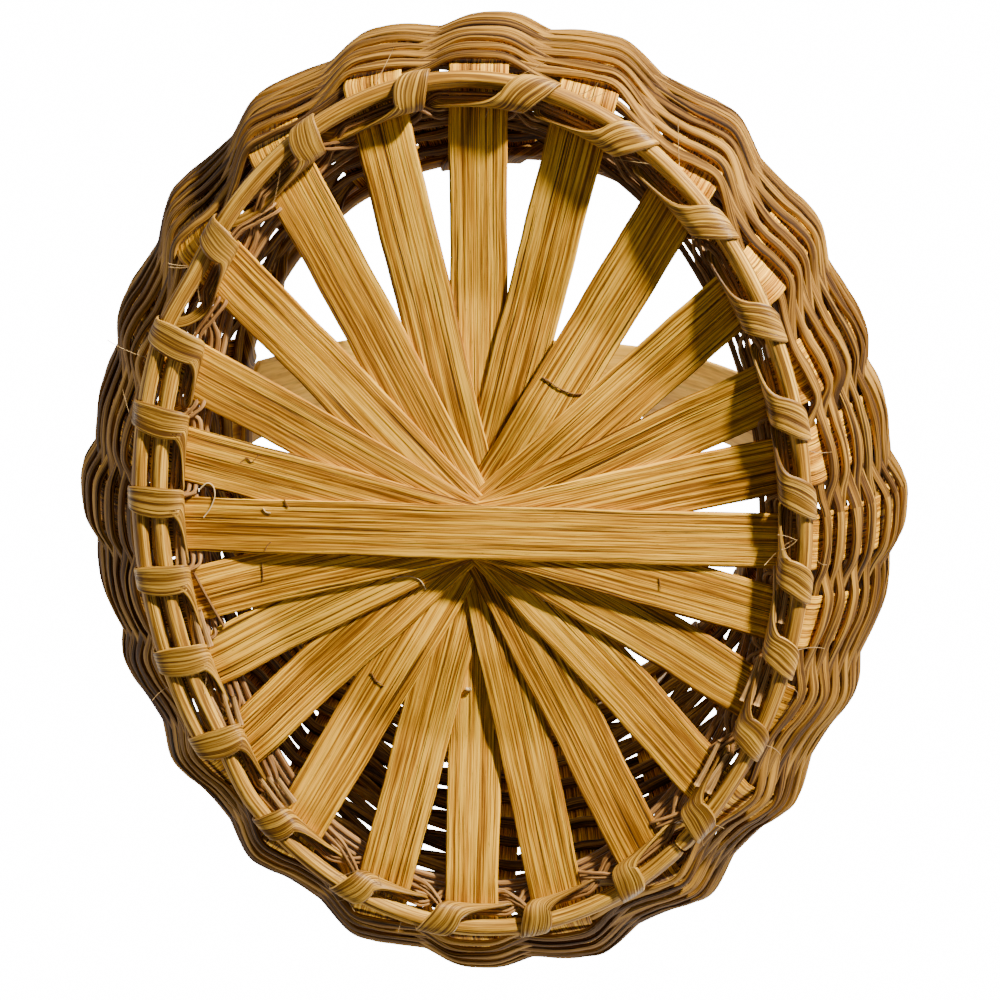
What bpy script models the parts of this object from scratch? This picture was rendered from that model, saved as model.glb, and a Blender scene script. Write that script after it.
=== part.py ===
"""Oval basket with a hoop handle, woven on twelve flat floor spokes.

Metres, +Z up. The basket stands on its foot lashing at z = 0. X runs along the
short axis of the oval and Y along the long one. The spokes cross at the hub, run
out over the foot ring and turn up to become the twenty-four stakes of the wall.
"""
import math

import bmesh
import bpy
import numpy as np

# Flat spokes and the stack they make at the hub
SPOKE_WIDTH = 0.019
SPOKE_THICKNESS = 0.0008
HUB_Y = -0.0088
STACK_PITCH = 0.00115
# Direction of each spoke, its level in the hub stack and its level where the fan opens
SPOKES = (
    (2.5, 0, 0),
    (16.5, 1, 1),
    (32.0, 3, 3),
    (49.0, 5, 4),
    (65.0, 7, 5),
    (79.5, 9, 6),
    (92.5, 11, 8),
    (106.0, 10, 7),
    (122.0, 8, 5),
    (138.5, 6, 4),
    (154.5, 4, 3),
    (168.0, 2, 2),
)
STACK_FLAT_RADIUS = 0.017
STACK_SPREAD_RADIUS = 0.046
FAN_OPEN_RADIUS = 0.079
FLOOR_LEVEL_MARGIN = 0.016
LINE_TOLERANCE = 0.00018
SPAN_STATIONS = 9
EDGE_STATIONS = 8
WALL_STATIONS = 46
CORNER_PASSES = 4
NORMAL_STEP = 0.0006

# Foot ring, made of two round reeds that lap on the left side
FOOT_HALF_X = 0.110
FOOT_HALF_Y = 0.1465
FOOT_CENTRE_Y = -0.0118
REED_RADIUS = 0.003
REED_SIDES = 8
LAP_OFFSET = 0.00325
LAP_START = 150.0
LAP_END = 205.0
LAP_EASE = 13.0
BUTT_ANGLE = 52.0
BUTT_GAP = 0.4
LONG_REED_STATIONS = 52
SHORT_REED_STATIONS = 30
LASHING_WIDTH = 0.0095
LASHING_GAP_WIDTH = 0.0036
LASHING_THICKNESS = 0.0009
LASHING_SLANT = 0.0045
FOOT_LASHING_ROOM = 0.0006
LASHING_LOOK_AROUND = (-6.0, -3.0, 0.0, 3.0, 6.0)
# Shape of a lashing turn, as shares of the reed's radius and of the strip's thickness
LASHING_SHOULDER = 0.4
LASHING_BEVEL = 0.5
LASHING_MITRE = 0.4
# How far the strip has moved along the ring at three heights, as shares of the slant
SLIDE_SHOULDER = 1.45
SLIDE_SIDE = 0.95
SLIDE_BOTTOM = 0.70
CLEARANCE = 0.00035

# Wall outline: height, half widths and centre, at the floor, the belly and the mouth
WALL_BASE_Z = 0.0080
BELLY_Z = 0.075
RIM_Z = 0.180
FLOOR_EDGE = (0.1145, 0.151, -0.0118)
BELLY = (0.1452, 0.1768, 0.0002)
MOUTH = (0.1170, 0.1190, -0.0068)
# The tails of the handle push the two stakes they lie behind outwards
TAIL_PUSH = 0.004
TAIL_PUSH_START_Z = 0.010
TAIL_PUSH_RISE = 0.030
TAIL_PUSH_END_Z = 0.168
TAIL_PUSH_FALL = 0.045
# The wall is less full on the diagonals than an oval, mostly at the +Y end
DIAGONAL_DRAW = 0.005

# Woven bands of the wall
BAND_COUNT = 14
BAND_THICKNESS = 0.003
BAND_GAP = 0.0005
WEAVE_CLEARANCE = 0.00045
WALL_START = 0.0105
STAKE_EDGE = 0.0102

# Thin twined rows on the floor just inside the foot ring
BASE_ROW_INSETS = (0.0112, 0.0146)
BASE_ROW_SIZE = 0.0022

# Rim
RIM_REED_HEIGHT = 0.0070
RIM_REED_THICKNESS = 0.0036
RIM_BELOW_TOP = 0.0036
RIM_LASHING_WIDTH = 0.0080
RIM_LASHING_GAP_WIDTH = 0.0055
RIM_LASHING_THICKNESS = 0.0008
RIM_LASHING_SLANT = 0.0035
RIM_LASHING_ROOM = 0.0008
RIM_GAP_BELOW = 0.0023
RIM_FACE_HEIGHT = 0.1

# Bent-wood hoop handle, set inside the two stakes of the first spoke
HANDLE_WIDTH = 0.034
HANDLE_TUCK_WIDTH = 0.019
# The hoop stands a little to one side of its two tails, most of all at its left arm
HANDLE_SHIFT = -0.004
HANDLE_LEFT_SHIFT = -0.009
HANDLE_LEFT_REACH = 0.100
HANDLE_THICKNESS = 0.0032
HANDLE_CORNER = 0.0009
HANDLE_TOP_Z = 0.300
HANDLE_LOW_Z = 0.045
HANDLE_RISE = 0.062
HANDLE_TOP_REACH = 0.070
HANDLE_FLAT = 0.009
HANDLE_FLARE = 0.010
HANDLE_TUCK_STATIONS = 13
HANDLE_ARC_STATIONS = 12
HANDLE_SHOULDER_STATIONS = 3

REED_Z = LASHING_THICKNESS + CLEARANCE + REED_RADIUS
FLOOR_Z = REED_Z + REED_RADIUS + CLEARANCE + SPOKE_THICKNESS / 2
UP = np.array([0.0, 0.0, 1.0])

WOOD = {
    "spoke": (0.66, 0.43, 0.17, 1.0),
    "reed": (0.70, 0.48, 0.22, 1.0),
    "lashing": (0.62, 0.44, 0.22, 1.0),
    "weaver": (0.50, 0.32, 0.13, 1.0),
    "base_weaver": (0.34, 0.18, 0.08, 1.0),
    "handle": (0.68, 0.48, 0.24, 1.0),
}


def clear_scene():
    for old in list(bpy.data.objects):
        bpy.data.objects.remove(old, do_unlink=True)


def wood_material(kind, node):
    """One material for one piece, in the colour of its kind of wood."""
    material = bpy.data.materials.new(node)
    material.use_nodes = True
    shader = material.node_tree.nodes["Principled BSDF"]
    shader.inputs["Base Color"].default_value = WOOD[kind]
    shader.inputs["Roughness"].default_value = 0.55
    shader.inputs["Metallic"].default_value = 0.0
    return material


def add_object(node, kind, body):
    """One object from a closed body, given as its points and faces."""
    points, faces = body
    mesh = bpy.data.meshes.new(node)
    build = bmesh.new()
    corners = [build.verts.new(point) for point in points]
    for face in faces:
        build.faces.new([corners[index] for index in face])
    bmesh.ops.triangulate(build, faces=build.faces[:])
    bmesh.ops.recalc_face_normals(build, faces=build.faces[:])
    build.to_mesh(mesh)
    build.free()
    mesh.materials.append(wood_material(kind, node))
    piece = bpy.data.objects.new(node, mesh)
    bpy.context.scene.collection.objects.link(piece)
    return piece


def skin(rings, closed):
    """Points and faces of a body that runs through equal rings of corner points."""
    count = len(rings)
    sides = len(rings[0])
    points = [tuple(point) for ring in rings for point in ring]
    faces = []
    for i in range(count if closed else count - 1):
        after = (i + 1) % count
        for j in range(sides):
            beside = (j + 1) % sides
            faces.append((i * sides + j, i * sides + beside, after * sides + beside, after * sides + j))
    if not closed:
        faces.append(tuple(range(sides)))
        faces.append(tuple((count - 1) * sides + j for j in reversed(range(sides))))
    return points, faces


def blend(a, b, t):
    return a + (b - a) * t


def smooth_step(t):
    t = min(max(t, 0.0), 1.0)
    return t * t * (3.0 - 2.0 * t)


def wall_outline(z):
    """Half widths and centre of the wall's oval at height z."""
    if z < BELLY_Z:
        swell = math.sin(math.pi / 2 * (z - WALL_BASE_Z) / (BELLY_Z - WALL_BASE_Z))
        pair = (FLOOR_EDGE, BELLY)
    else:
        swell = 1.0 - math.cos(math.pi / 2 * (z - BELLY_Z) / (RIM_Z - BELLY_Z))
        pair = (BELLY, MOUTH)
    return [blend(pair[0][i], pair[1][i], swell) for i in range(3)]


def tail_push(z):
    """How far a stake with a handle tail behind it stands out from the oval at height z."""
    rise = smooth_step((z - TAIL_PUSH_START_Z) / TAIL_PUSH_RISE)
    fall = smooth_step((TAIL_PUSH_END_Z - z) / TAIL_PUSH_FALL)
    return TAIL_PUSH * min(rise, fall)


def diagonal_draw(z, angle):
    """How far the wall stands in from the oval at height z, in a direction in radians."""
    swell = math.sin(math.pi * (z - WALL_BASE_Z) / (RIM_Z - WALL_BASE_Z))
    towards_end = (1.0 + math.sin(angle)) / (1.0 + math.sqrt(0.5))
    return DIAGONAL_DRAW * swell * math.sin(2.0 * angle) ** 2 * towards_end


def reach(direction, half_x, half_y, centre_y, sideways=0.0):
    """Distance to an oval along a direction in radians, from the hub or from beside it."""
    ux = math.cos(direction) / half_x
    uy = math.sin(direction) / half_y
    start_x = -sideways * math.sin(direction) / half_x
    start_y = (HUB_Y + sideways * math.cos(direction) - centre_y) / half_y
    a = ux * ux + uy * uy
    b = 2.0 * (ux * start_x + uy * start_y)
    c = start_x * start_x + start_y * start_y - 1.0
    return (-b + math.sqrt(b * b - 4.0 * a * c)) / (2.0 * a)


def round_corners(points, passes):
    """Cut the corners of an open line, keeping its two ends."""
    line = np.array(points)
    for _ in range(passes):
        near = line[:-1] * 0.75 + line[1:] * 0.25
        far = line[:-1] * 0.25 + line[1:] * 0.75
        inner = np.stack([near, far], axis=1).reshape(-1, line.shape[1])
        line = np.concatenate([line[:1], inner, line[-1:]])
    return line


def arc_lengths(line):
    steps = np.linalg.norm(np.diff(line, axis=0), axis=1)
    return np.concatenate([[0.0], np.cumsum(steps)])


def needed_points(line, tolerance):
    """Indices of the points that an open line needs to stay within a tolerance."""
    keep = {0, len(line) - 1}
    spans = [(0, len(line) - 1)]
    while spans:
        first, last = spans.pop()
        if last - first < 2:
            continue
        chord = line[last] - line[first]
        offset = line[first + 1:last] - line[first]
        length = np.linalg.norm(chord)
        away = np.abs(offset[:, 0] * chord[1] - offset[:, 1] * chord[0]) / length
        worst = int(np.argmax(away))
        if away[worst] > tolerance:
            split = first + 1 + worst
            keep.add(split)
            spans += [(first, split), (split, last)]
    return sorted(keep)


class Stake:
    """Half of one spoke, from the hub out over the foot ring and up the wall.

    Its line lies in the upright plane through the hub: (distance, height) pairs.
    """

    def __init__(self, degrees, hub_level, fan_level, holds_handle):
        self.angle = math.radians(degrees)
        self.holds_handle = holds_handle
        self.out = np.array([math.cos(self.angle), math.sin(self.angle), 0.0])
        self.side = np.array([-math.sin(self.angle), math.cos(self.angle), 0.0])
        self.ring = reach(self.angle, FOOT_HALF_X, FOOT_HALF_Y, FOOT_CENTRE_Y)
        self.line = round_corners(self.outline(hub_level, fan_level), CORNER_PASSES)
        lengths = arc_lengths(self.line)
        at_ring = np.interp(self.ring, self.line[:, 0][:len(lengths) // 2], lengths[:len(lengths) // 2])
        self.lengths = lengths - at_ring
        self.top = self.lengths[-1]

    def outline(self, hub_level, fan_level):
        hub_z = FLOOR_Z + hub_level * STACK_PITCH
        fan_z = FLOOR_Z + fan_level * STACK_PITCH
        level_radius = self.ring - FLOOR_LEVEL_MARGIN
        stations = [
            (0.0, hub_z),
            (STACK_FLAT_RADIUS, hub_z),
            (STACK_SPREAD_RADIUS, fan_z),
            (FAN_OPEN_RADIUS, fan_z),
            (level_radius, FLOOR_Z),
        ]
        line = []
        for (near, near_z), (far, far_z) in zip(stations, stations[1:]):
            for t in np.linspace(0.0, 1.0, SPAN_STATIONS)[:-1]:
                line.append((blend(near, far, t), blend(near_z, far_z, t)))
        edge = reach(self.angle, *FLOOR_EDGE)
        for distance in np.linspace(level_radius, edge, EDGE_STATIONS):
            line.append((distance, FLOOR_Z))
        rise = np.linspace(0.0, 1.0, WALL_STATIONS)[1:]
        for height in FLOOR_Z + (RIM_Z - FLOOR_Z) * rise:
            push = tail_push(height) if self.holds_handle else 0.0
            push -= diagonal_draw(height, self.angle)
            line.append((reach(self.angle, *wall_outline(height)) + push, height))
        return line

    def at(self, length):
        """Distance and height on the line, and the normal that faces out of the basket."""
        ends = [np.array([np.interp(length + s, self.lengths, self.line[:, i]) for i in range(2)])
                for s in (-NORMAL_STEP, NORMAL_STEP)]
        along = (ends[1] - ends[0]) / np.linalg.norm(ends[1] - ends[0])
        middle = np.array([np.interp(length, self.lengths, self.line[:, i]) for i in range(2)])
        return middle, np.array([along[1], -along[0]])

    def point(self, length, outward=0.0, sideways=0.0):
        middle, normal = self.at(length)
        distance, height = middle + normal * outward
        return self.out * distance + self.side * sideways + UP * height + np.array([0.0, HUB_Y, 0.0])


def make_stakes():
    """The twenty-four half spokes in order round the oval, the first one at the first spoke."""
    near = [Stake(degrees, hub, fan, index == 0) for index, (degrees, hub, fan) in enumerate(SPOKES)]
    far = [Stake(degrees + 180.0, hub, fan, index == 0) for index, (degrees, hub, fan) in enumerate(SPOKES)]
    return near + far


def spoke_body(near, far):
    """One flat strip from the rim, down the wall, over the floor and up the other wall."""
    def stations(stake):
        line = np.concatenate([stake.line, stake.lengths[:, None]], axis=1)
        return [line[index, 2] for index in needed_points(stake.line, LINE_TOLERANCE)]

    rings = []
    halves = ((far, -1.0, reversed(stations(far)[1:])), (near, 1.0, stations(near)[1:]))
    for stake, turn, lengths in halves:
        for length in lengths:
            half = SPOKE_THICKNESS / 2
            corners = ((-half, -1.0), (half, -1.0), (half, 1.0), (-half, 1.0))
            edge = turn * SPOKE_WIDTH / 2
            rings.append([stake.point(length, outward, edge * s) for outward, s in corners])
    return skin(rings, closed=False)


def ring_round_stakes(stakes, passes_outside, low, high, thickness, beside_handle):
    """Cross-sections of a closed band that runs round all the stakes.

    passes_outside says for each stake on which side the band lies. low and high give
    the band's two edges as lengths along a stake, at a distance to its side.
    """
    rings = []
    for index, stake in enumerate(stakes):
        outside = passes_outside(index)
        room = SPOKE_THICKNESS / 2 + WEAVE_CLEARANCE
        if beside_handle and not outside and stake.holds_handle:
            room += HANDLE_THICKNESS + WEAVE_CLEARANCE
        near, far = (room, room + thickness) if outside else (-room - thickness, -room)
        for sideways in (-STAKE_EDGE, STAKE_EDGE):
            rings.append([
                stake.point(low(stake, sideways), near, sideways),
                stake.point(low(stake, sideways), far, sideways),
                stake.point(high(stake, sideways), far, sideways),
                stake.point(high(stake, sideways), near, sideways),
            ])
    return rings


def wall_band(stakes, index):
    """One woven band of the wall, passing outside every other stake."""
    def edge(position, inset):
        def length(stake, sideways):
            finish = stake.top - RIM_BELOW_TOP - RIM_REED_HEIGHT / 2 - RIM_GAP_BELOW
            return blend(WALL_START, finish, position / BAND_COUNT) + inset
        return length

    low = edge(index, BAND_GAP / 2)
    high = edge(index + 1, -BAND_GAP / 2)
    beside_handle = stakes[0].point(high(stakes[0], 0.0))[2] > HANDLE_LOW_Z - HANDLE_THICKNESS
    rings = ring_round_stakes(
        stakes, lambda stake: (stake + index) % 2 == 0, low, high, BAND_THICKNESS, beside_handle)
    return skin(rings, closed=True)


def base_row(stakes, index):
    """One thin twined row on the floor, over one spoke and under the next."""
    def edge(inset):
        def length(stake, sideways):
            oval = (FOOT_HALF_X - inset, FOOT_HALF_Y - inset, FOOT_CENTRE_Y)
            return reach(stake.angle, *oval, sideways) - stake.ring
        return length

    inset = BASE_ROW_INSETS[index]
    rings = ring_round_stakes(
        stakes,
        lambda stake: (stake + index) % 2 == 0,
        edge(inset + BASE_ROW_SIZE / 2),
        edge(inset - BASE_ROW_SIZE / 2),
        BASE_ROW_SIZE,
        False)
    return skin(rings, closed=True)


def rim_reed_rings(stakes, outside):
    return ring_round_stakes(
        stakes,
        lambda stake: outside,
        lambda stake, sideways: stake.top - RIM_BELOW_TOP - RIM_REED_HEIGHT / 2,
        lambda stake, sideways: stake.top - RIM_BELOW_TOP + RIM_REED_HEIGHT / 2,
        RIM_REED_THICKNESS,
        True)


class RimPlace:
    """The box round both rim reeds at one place on the rim, and its three directions."""

    def __init__(self, rings, along):
        corners = np.concatenate(rings)
        self.centre = corners.mean(axis=0)
        self.along = along / np.linalg.norm(along)
        up = sum(ring[2:].mean(axis=0) - ring[:2].mean(axis=0) for ring in rings)
        up -= self.along * (up @ self.along)
        self.up = up / np.linalg.norm(up)
        self.out = np.cross(self.along, self.up)
        self.half_out = np.abs((corners - self.centre) @ self.out).max() + RIM_LASHING_ROOM
        self.half_up = np.abs((corners - self.centre) @ self.up).max() + RIM_LASHING_ROOM

    def corners(self, out_sign, up_sign, half_width, slide=0.0):
        """The strip's cross-section at a corner or a face of the box."""
        thick = RIM_LASHING_THICKNESS
        ring = []
        for grow, shift in ((0, -1), (1, -1), (1, 1), (0, 1)):
            wide = out_sign * (self.half_out + grow * thick)
            tall = up_sign * self.half_up
            if abs(up_sign) == 1:
                tall += up_sign * grow * thick
            ring.append(self.centre + self.out * wide + self.up * tall
                        + self.along * (slide + shift * half_width))
        return ring


def rim_lashing(stakes, first):
    """Flat reed wound round the rim from one handle arm to the other, a turn for each stake."""
    reeds = [np.array(rim_reed_rings(stakes, outside)) for outside in (True, False)]
    count = len(reeds[0])

    def place(start, end):
        start, end = start % count, end % count
        rings = [reed[i] for reed in reeds for i in sorted({start, end})]
        before, after = (start, end) if start != end else ((start - 1) % count, (start + 1) % count)
        along = sum(reed[after].mean(axis=0) - reed[before].mean(axis=0) for reed in reeds)
        return RimPlace(rings, along)

    narrow = RIM_LASHING_GAP_WIDTH / 2
    wide = RIM_LASHING_WIDTH / 2
    rings = []
    turns = len(stakes) // 2 - 1
    for turn in range(turns):
        stake = first + 1 + turn
        gap = place(2 * stake - 1, 2 * stake)
        arrive = place(2 * stake, 2 * stake)
        middle = place(2 * stake, 2 * stake + 1)
        leave = place(2 * stake + 1, 2 * stake + 1)
        last = leave.corners(-1, RIM_FACE_HEIGHT, wide)
        if turn == turns - 1:
            last = middle.corners(-1, RIM_FACE_HEIGHT, narrow, 2 * narrow)
        rings += [
            gap.corners(-1, -1, narrow),
            gap.corners(1, -1, narrow),
            arrive.corners(1, RIM_FACE_HEIGHT, wide),
            middle.corners(1, 1, wide, -RIM_LASHING_SLANT),
            middle.corners(-1, 1, wide, RIM_LASHING_SLANT),
            last,
        ]
    gap = place(2 * (first + turns) + 1, 2 * (first + turns) + 2)
    rings += [gap.corners(-1, -1, narrow), gap.corners(1, -1, narrow)]
    return skin(rings, closed=False)


def foot_point(turn, offset, height, slide=0.0):
    """A point by the foot ring: turn in radians round the oval, offset outwards from its line.

    slide moves the point along the ring by a length in metres.
    """
    pace = math.hypot(FOOT_HALF_X * math.sin(turn), FOOT_HALF_Y * math.cos(turn))
    turn += slide / pace
    normal = np.array([math.cos(turn) / FOOT_HALF_X, math.sin(turn) / FOOT_HALF_Y, 0.0])
    normal /= np.linalg.norm(normal)
    centre = np.array([FOOT_HALF_X * math.cos(turn), FOOT_CENTRE_Y + FOOT_HALF_Y * math.sin(turn), height])
    return centre + normal * offset


def long_reed_offset(degrees):
    """The long reed moves outwards where the short one lies beside it."""
    return LAP_OFFSET * smooth_step((LAP_END + LAP_EASE - 360.0 - degrees) / LAP_EASE)


def short_reed_offset(degrees):
    return -LAP_OFFSET * smooth_step((degrees - LAP_START + LAP_EASE) / LAP_EASE)


def foot_reed(start, finish, offset_at, count):
    rings = []
    for degrees in np.linspace(start, finish, count):
        ring = []
        for side in range(REED_SIDES):
            corner = math.pi * (2 * side + 1) / REED_SIDES
            reach_out = REED_RADIUS / math.cos(math.pi / REED_SIDES)
            ring.append(foot_point(
                math.radians(degrees),
                offset_at(degrees) + reach_out * math.cos(corner),
                REED_Z + reach_out * math.sin(corner)))
        rings.append(ring)
    return skin(rings, closed=False)


def reed_offsets(degrees):
    """Offsets of the reeds that lie under a place on the foot ring."""
    degrees = degrees % 360.0
    offsets = []
    if degrees > LAP_START or degrees < BUTT_ANGLE:
        turned = degrees - 360.0 if degrees > BUTT_ANGLE else degrees
        offsets.append(long_reed_offset(turned))
    if BUTT_ANGLE < degrees < LAP_END:
        offsets.append(short_reed_offset(degrees))
    return offsets


def foot_extent(turn):
    """How far the reeds reach inwards and outwards near a place on the foot ring."""
    nearby = []
    for step in LASHING_LOOK_AROUND:
        nearby += reed_offsets(math.degrees(turn) + step)
    room = REED_RADIUS + FOOT_LASHING_ROOM
    return min(nearby) - room, max(nearby) + room


def foot_turn(stake):
    """Angle on the foot oval at which a spoke crosses the ring."""
    x, y = stake.out[:2] * stake.ring
    return math.atan2((y + HUB_Y - FOOT_CENTRE_Y) / FOOT_HALF_Y, x / FOOT_HALF_X)


def foot_lashing(stakes):
    """Flat reed wound round the foot ring, under each spoke and up through the next gap."""
    bottom = REED_Z - REED_RADIUS - CLEARANCE
    top = REED_Z + REED_RADIUS + CLEARANCE
    shoulder = REED_Z + REED_RADIUS * LASHING_SHOULDER
    bevel = REED_RADIUS * LASHING_BEVEL
    thick = LASHING_THICKNESS
    mitre = thick * LASHING_MITRE
    turns = [foot_turn(stake) for stake in stakes]
    rings = []
    for index, under in enumerate(turns):
        after = turns[(index + 1) % len(turns)]
        gap = under + ((after - under) % (2 * math.pi)) / 2
        inner, outer = foot_extent(under)
        gap_inner, gap_outer = foot_extent(gap)
        wide = LASHING_WIDTH / 2
        narrow = LASHING_GAP_WIDTH / 2
        slant = LASHING_SLANT
        stations = (
            (under, -SLIDE_SHOULDER, (inner, shoulder), (inner - thick, shoulder), wide),
            (under, -SLIDE_SIDE, (inner, bottom + bevel), (inner - thick, bottom + bevel - mitre), wide),
            (under, -SLIDE_BOTTOM, (inner + bevel, bottom), (inner + bevel - mitre, bottom - thick), wide),
            (under, SLIDE_BOTTOM, (outer - bevel, bottom), (outer - bevel + mitre, bottom - thick), wide),
            (under, SLIDE_SIDE, (outer, bottom + bevel), (outer + thick, bottom + bevel - mitre), wide),
            (under, SLIDE_SHOULDER, (outer, shoulder), (outer + thick, shoulder), wide),
            (gap, 0.0, (gap_outer, top - bevel), (gap_outer + thick, top - bevel + mitre), narrow),
            (gap, 0.0, (gap_outer - bevel, top), (gap_outer - bevel + mitre, top + thick), narrow),
            (gap, 0.0, (gap_inner + bevel, top), (gap_inner + bevel - mitre, top + thick), narrow),
            (gap, 0.0, (gap_inner, top - bevel), (gap_inner - thick, top - bevel + mitre), narrow),
        )
        for turn, slide, near, far, half in stations:
            middle = slide * slant
            rings.append([
                foot_point(turn, near[0], near[1], middle - half),
                foot_point(turn, near[0], near[1], middle + half),
                foot_point(turn, far[0], far[1], middle + half),
                foot_point(turn, far[0], far[1], middle - half),
            ])
    return skin(rings, closed=True)


def handle_side(stake):
    """Half of the hoop's line, from its low end inside the wall to the flat at the top."""
    wall = stake.lengths > 2 * WALL_START
    low = np.interp(HANDLE_LOW_Z, stake.line[wall, 1], stake.lengths[wall])
    inwards = SPOKE_THICKNESS / 2 + WEAVE_CLEARANCE + HANDLE_THICKNESS / 2
    points = []
    for length in np.linspace(low, stake.top, HANDLE_TUCK_STATIONS):
        middle, normal = stake.at(length)
        points.append(middle - normal * inwards)
    lift = (points[-1] - points[-2]) / np.linalg.norm(points[-1] - points[-2])
    first = points[-1]
    second = first + lift * HANDLE_RISE
    fourth = np.array([HANDLE_FLAT, HANDLE_TOP_Z])
    third = fourth + np.array([HANDLE_TOP_REACH, 0.0])
    arc = np.linspace(0.0, 1.0, HANDLE_ARC_STATIONS)
    shoulder = np.linspace(0.0, arc[1], HANDLE_SHOULDER_STATIONS + 2)
    for t in np.concatenate([shoulder[1:-1], arc[1:]]):
        s = 1.0 - t
        points.append(first * s ** 3 + second * 3 * s * s * t + third * 3 * s * t * t + fourth * t ** 3)
    return np.array(points)


def handle_body(near, far):
    near_side = handle_side(near)
    far_side = handle_side(far) * np.array([-1.0, 1.0])
    line = np.concatenate([far_side, near_side[::-1]])
    rings = []
    for index, place in enumerate(line):
        before = line[max(index - 1, 0)]
        after = line[min(index + 1, len(line) - 1)]
        along = (after - before) / np.linalg.norm(after - before)
        up = np.array([-along[1], along[0]])
        flare = smooth_step((place[1] - RIM_Z - CLEARANCE) / HANDLE_FLARE)
        wide = blend(HANDLE_TUCK_WIDTH, HANDLE_WIDTH, flare) / 2
        shift = blend(HANDLE_SHIFT, HANDLE_LEFT_SHIFT, smooth_step(-place[0] / HANDLE_LEFT_REACH))
        thick = HANDLE_THICKNESS / 2
        cut = HANDLE_CORNER
        ring = []
        for x, y in ((-wide, cut - thick), (cut - wide, -thick), (wide - cut, -thick), (wide, cut - thick),
                     (wide, thick - cut), (wide - cut, thick), (cut - wide, thick), (-wide, thick - cut)):
            distance, height = place + up * y
            beside = near.side * (shift * flare + x)
            ring.append(near.out * distance + beside + UP * height + np.array([0.0, HUB_Y, 0.0]))
        rings.append(ring)
    return skin(rings, closed=False)


def main():
    clear_scene()
    stakes = make_stakes()
    half = len(stakes) // 2
    for index in range(half):
        add_object(f"spoke_{index + 1:02d}", "spoke", spoke_body(stakes[index], stakes[index + half]))
    long_reed = foot_reed(
        LAP_START - 360.0, BUTT_ANGLE - BUTT_GAP / 2, long_reed_offset, LONG_REED_STATIONS)
    short_reed = foot_reed(BUTT_ANGLE + BUTT_GAP / 2, LAP_END, short_reed_offset, SHORT_REED_STATIONS)
    add_object("foot_reed_long", "reed", long_reed)
    add_object("foot_reed_short", "reed", short_reed)
    add_object("foot_lashing", "lashing", foot_lashing(stakes))
    for index in range(len(BASE_ROW_INSETS)):
        add_object(f"base_weaver_{index + 1}", "base_weaver", base_row(stakes, index))
    for index in range(BAND_COUNT):
        add_object(f"wall_weave_{index + 1:02d}", "weaver", wall_band(stakes, index))
    add_object("rim_reed_outer", "reed", skin(rim_reed_rings(stakes, True), closed=True))
    add_object("rim_reed_inner", "reed", skin(rim_reed_rings(stakes, False), closed=True))
    for number, first in enumerate((0, half)):
        add_object(f"rim_lashing_{number + 1}", "lashing", rim_lashing(stakes, first))
    add_object("handle", "handle", handle_body(stakes[0], stakes[half]))


main()
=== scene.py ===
import math

import bpy
import numpy as np
from mathutils import Matrix

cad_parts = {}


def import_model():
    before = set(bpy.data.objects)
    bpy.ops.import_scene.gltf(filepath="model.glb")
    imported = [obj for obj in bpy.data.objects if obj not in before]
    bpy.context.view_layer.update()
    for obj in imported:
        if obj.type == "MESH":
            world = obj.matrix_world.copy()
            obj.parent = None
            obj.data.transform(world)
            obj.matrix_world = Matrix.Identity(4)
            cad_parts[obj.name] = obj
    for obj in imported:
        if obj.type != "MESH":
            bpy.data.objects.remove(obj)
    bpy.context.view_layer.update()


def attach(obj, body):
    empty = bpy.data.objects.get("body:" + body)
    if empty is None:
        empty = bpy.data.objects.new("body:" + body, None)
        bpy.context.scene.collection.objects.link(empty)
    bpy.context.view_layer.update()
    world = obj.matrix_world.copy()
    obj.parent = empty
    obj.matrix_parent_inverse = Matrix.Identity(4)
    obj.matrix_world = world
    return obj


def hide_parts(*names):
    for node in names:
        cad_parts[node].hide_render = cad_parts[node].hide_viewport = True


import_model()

# Everything here is in metres, +Z up, in the frame of the part

# Waves in a wandering line: their lengths and heights as shares, and what the sum is divided by
WAVE_SHARES = (1.0, 0.53, 0.29)
WAVE_TOTAL = 1.8

# Flat spokes and the stack they make at the hub
SPOKE_WIDTH = 0.019
SPOKE_THICKNESS = 0.0008
HUB_Y = -0.0088
STACK_PITCH = 0.00115
# Direction of each spoke, its level in the hub stack and its level where the fan opens
SPOKES = (
    (2.5, 0, 0),
    (16.5, 1, 1),
    (32.0, 3, 3),
    (49.0, 5, 4),
    (65.0, 7, 5),
    (79.5, 9, 6),
    (92.5, 11, 8),
    (106.0, 10, 7),
    (122.0, 8, 5),
    (138.5, 6, 4),
    (154.5, 4, 3),
    (168.0, 2, 2),
)
STACK_FLAT_RADIUS = 0.017
STACK_SPREAD_RADIUS = 0.046
FAN_OPEN_RADIUS = 0.079
FLOOR_LEVEL_MARGIN = 0.016
SPAN_STATIONS = 9
EDGE_STATIONS = 8
WALL_STATIONS = 46
CORNER_PASSES = 4
NORMAL_STEP = 0.0006
SPOKE_COLUMNS = 26
SPOKE_STEP = 0.0025
RIDGE_HEIGHT = 0.00011
SPOKE_EDGE_WANDER = 0.00022
# Lengths of the waves in a spoke's two edges and in its ridges
SPOKE_EDGE_WAVES = (0.060, 0.045)
SPOKE_RIDGE_WAVE = 0.110
# Share of the half width over which a spoke's edge is rounded, and its thickness at the edge
SPOKE_EDGE_ROUND = 0.06
SPOKE_EDGE_THICK = 0.45
SPOKE_TINT = 0.07
SPOKE_TINT_STEP = 2.4
SPOKE_SEED = 100

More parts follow.
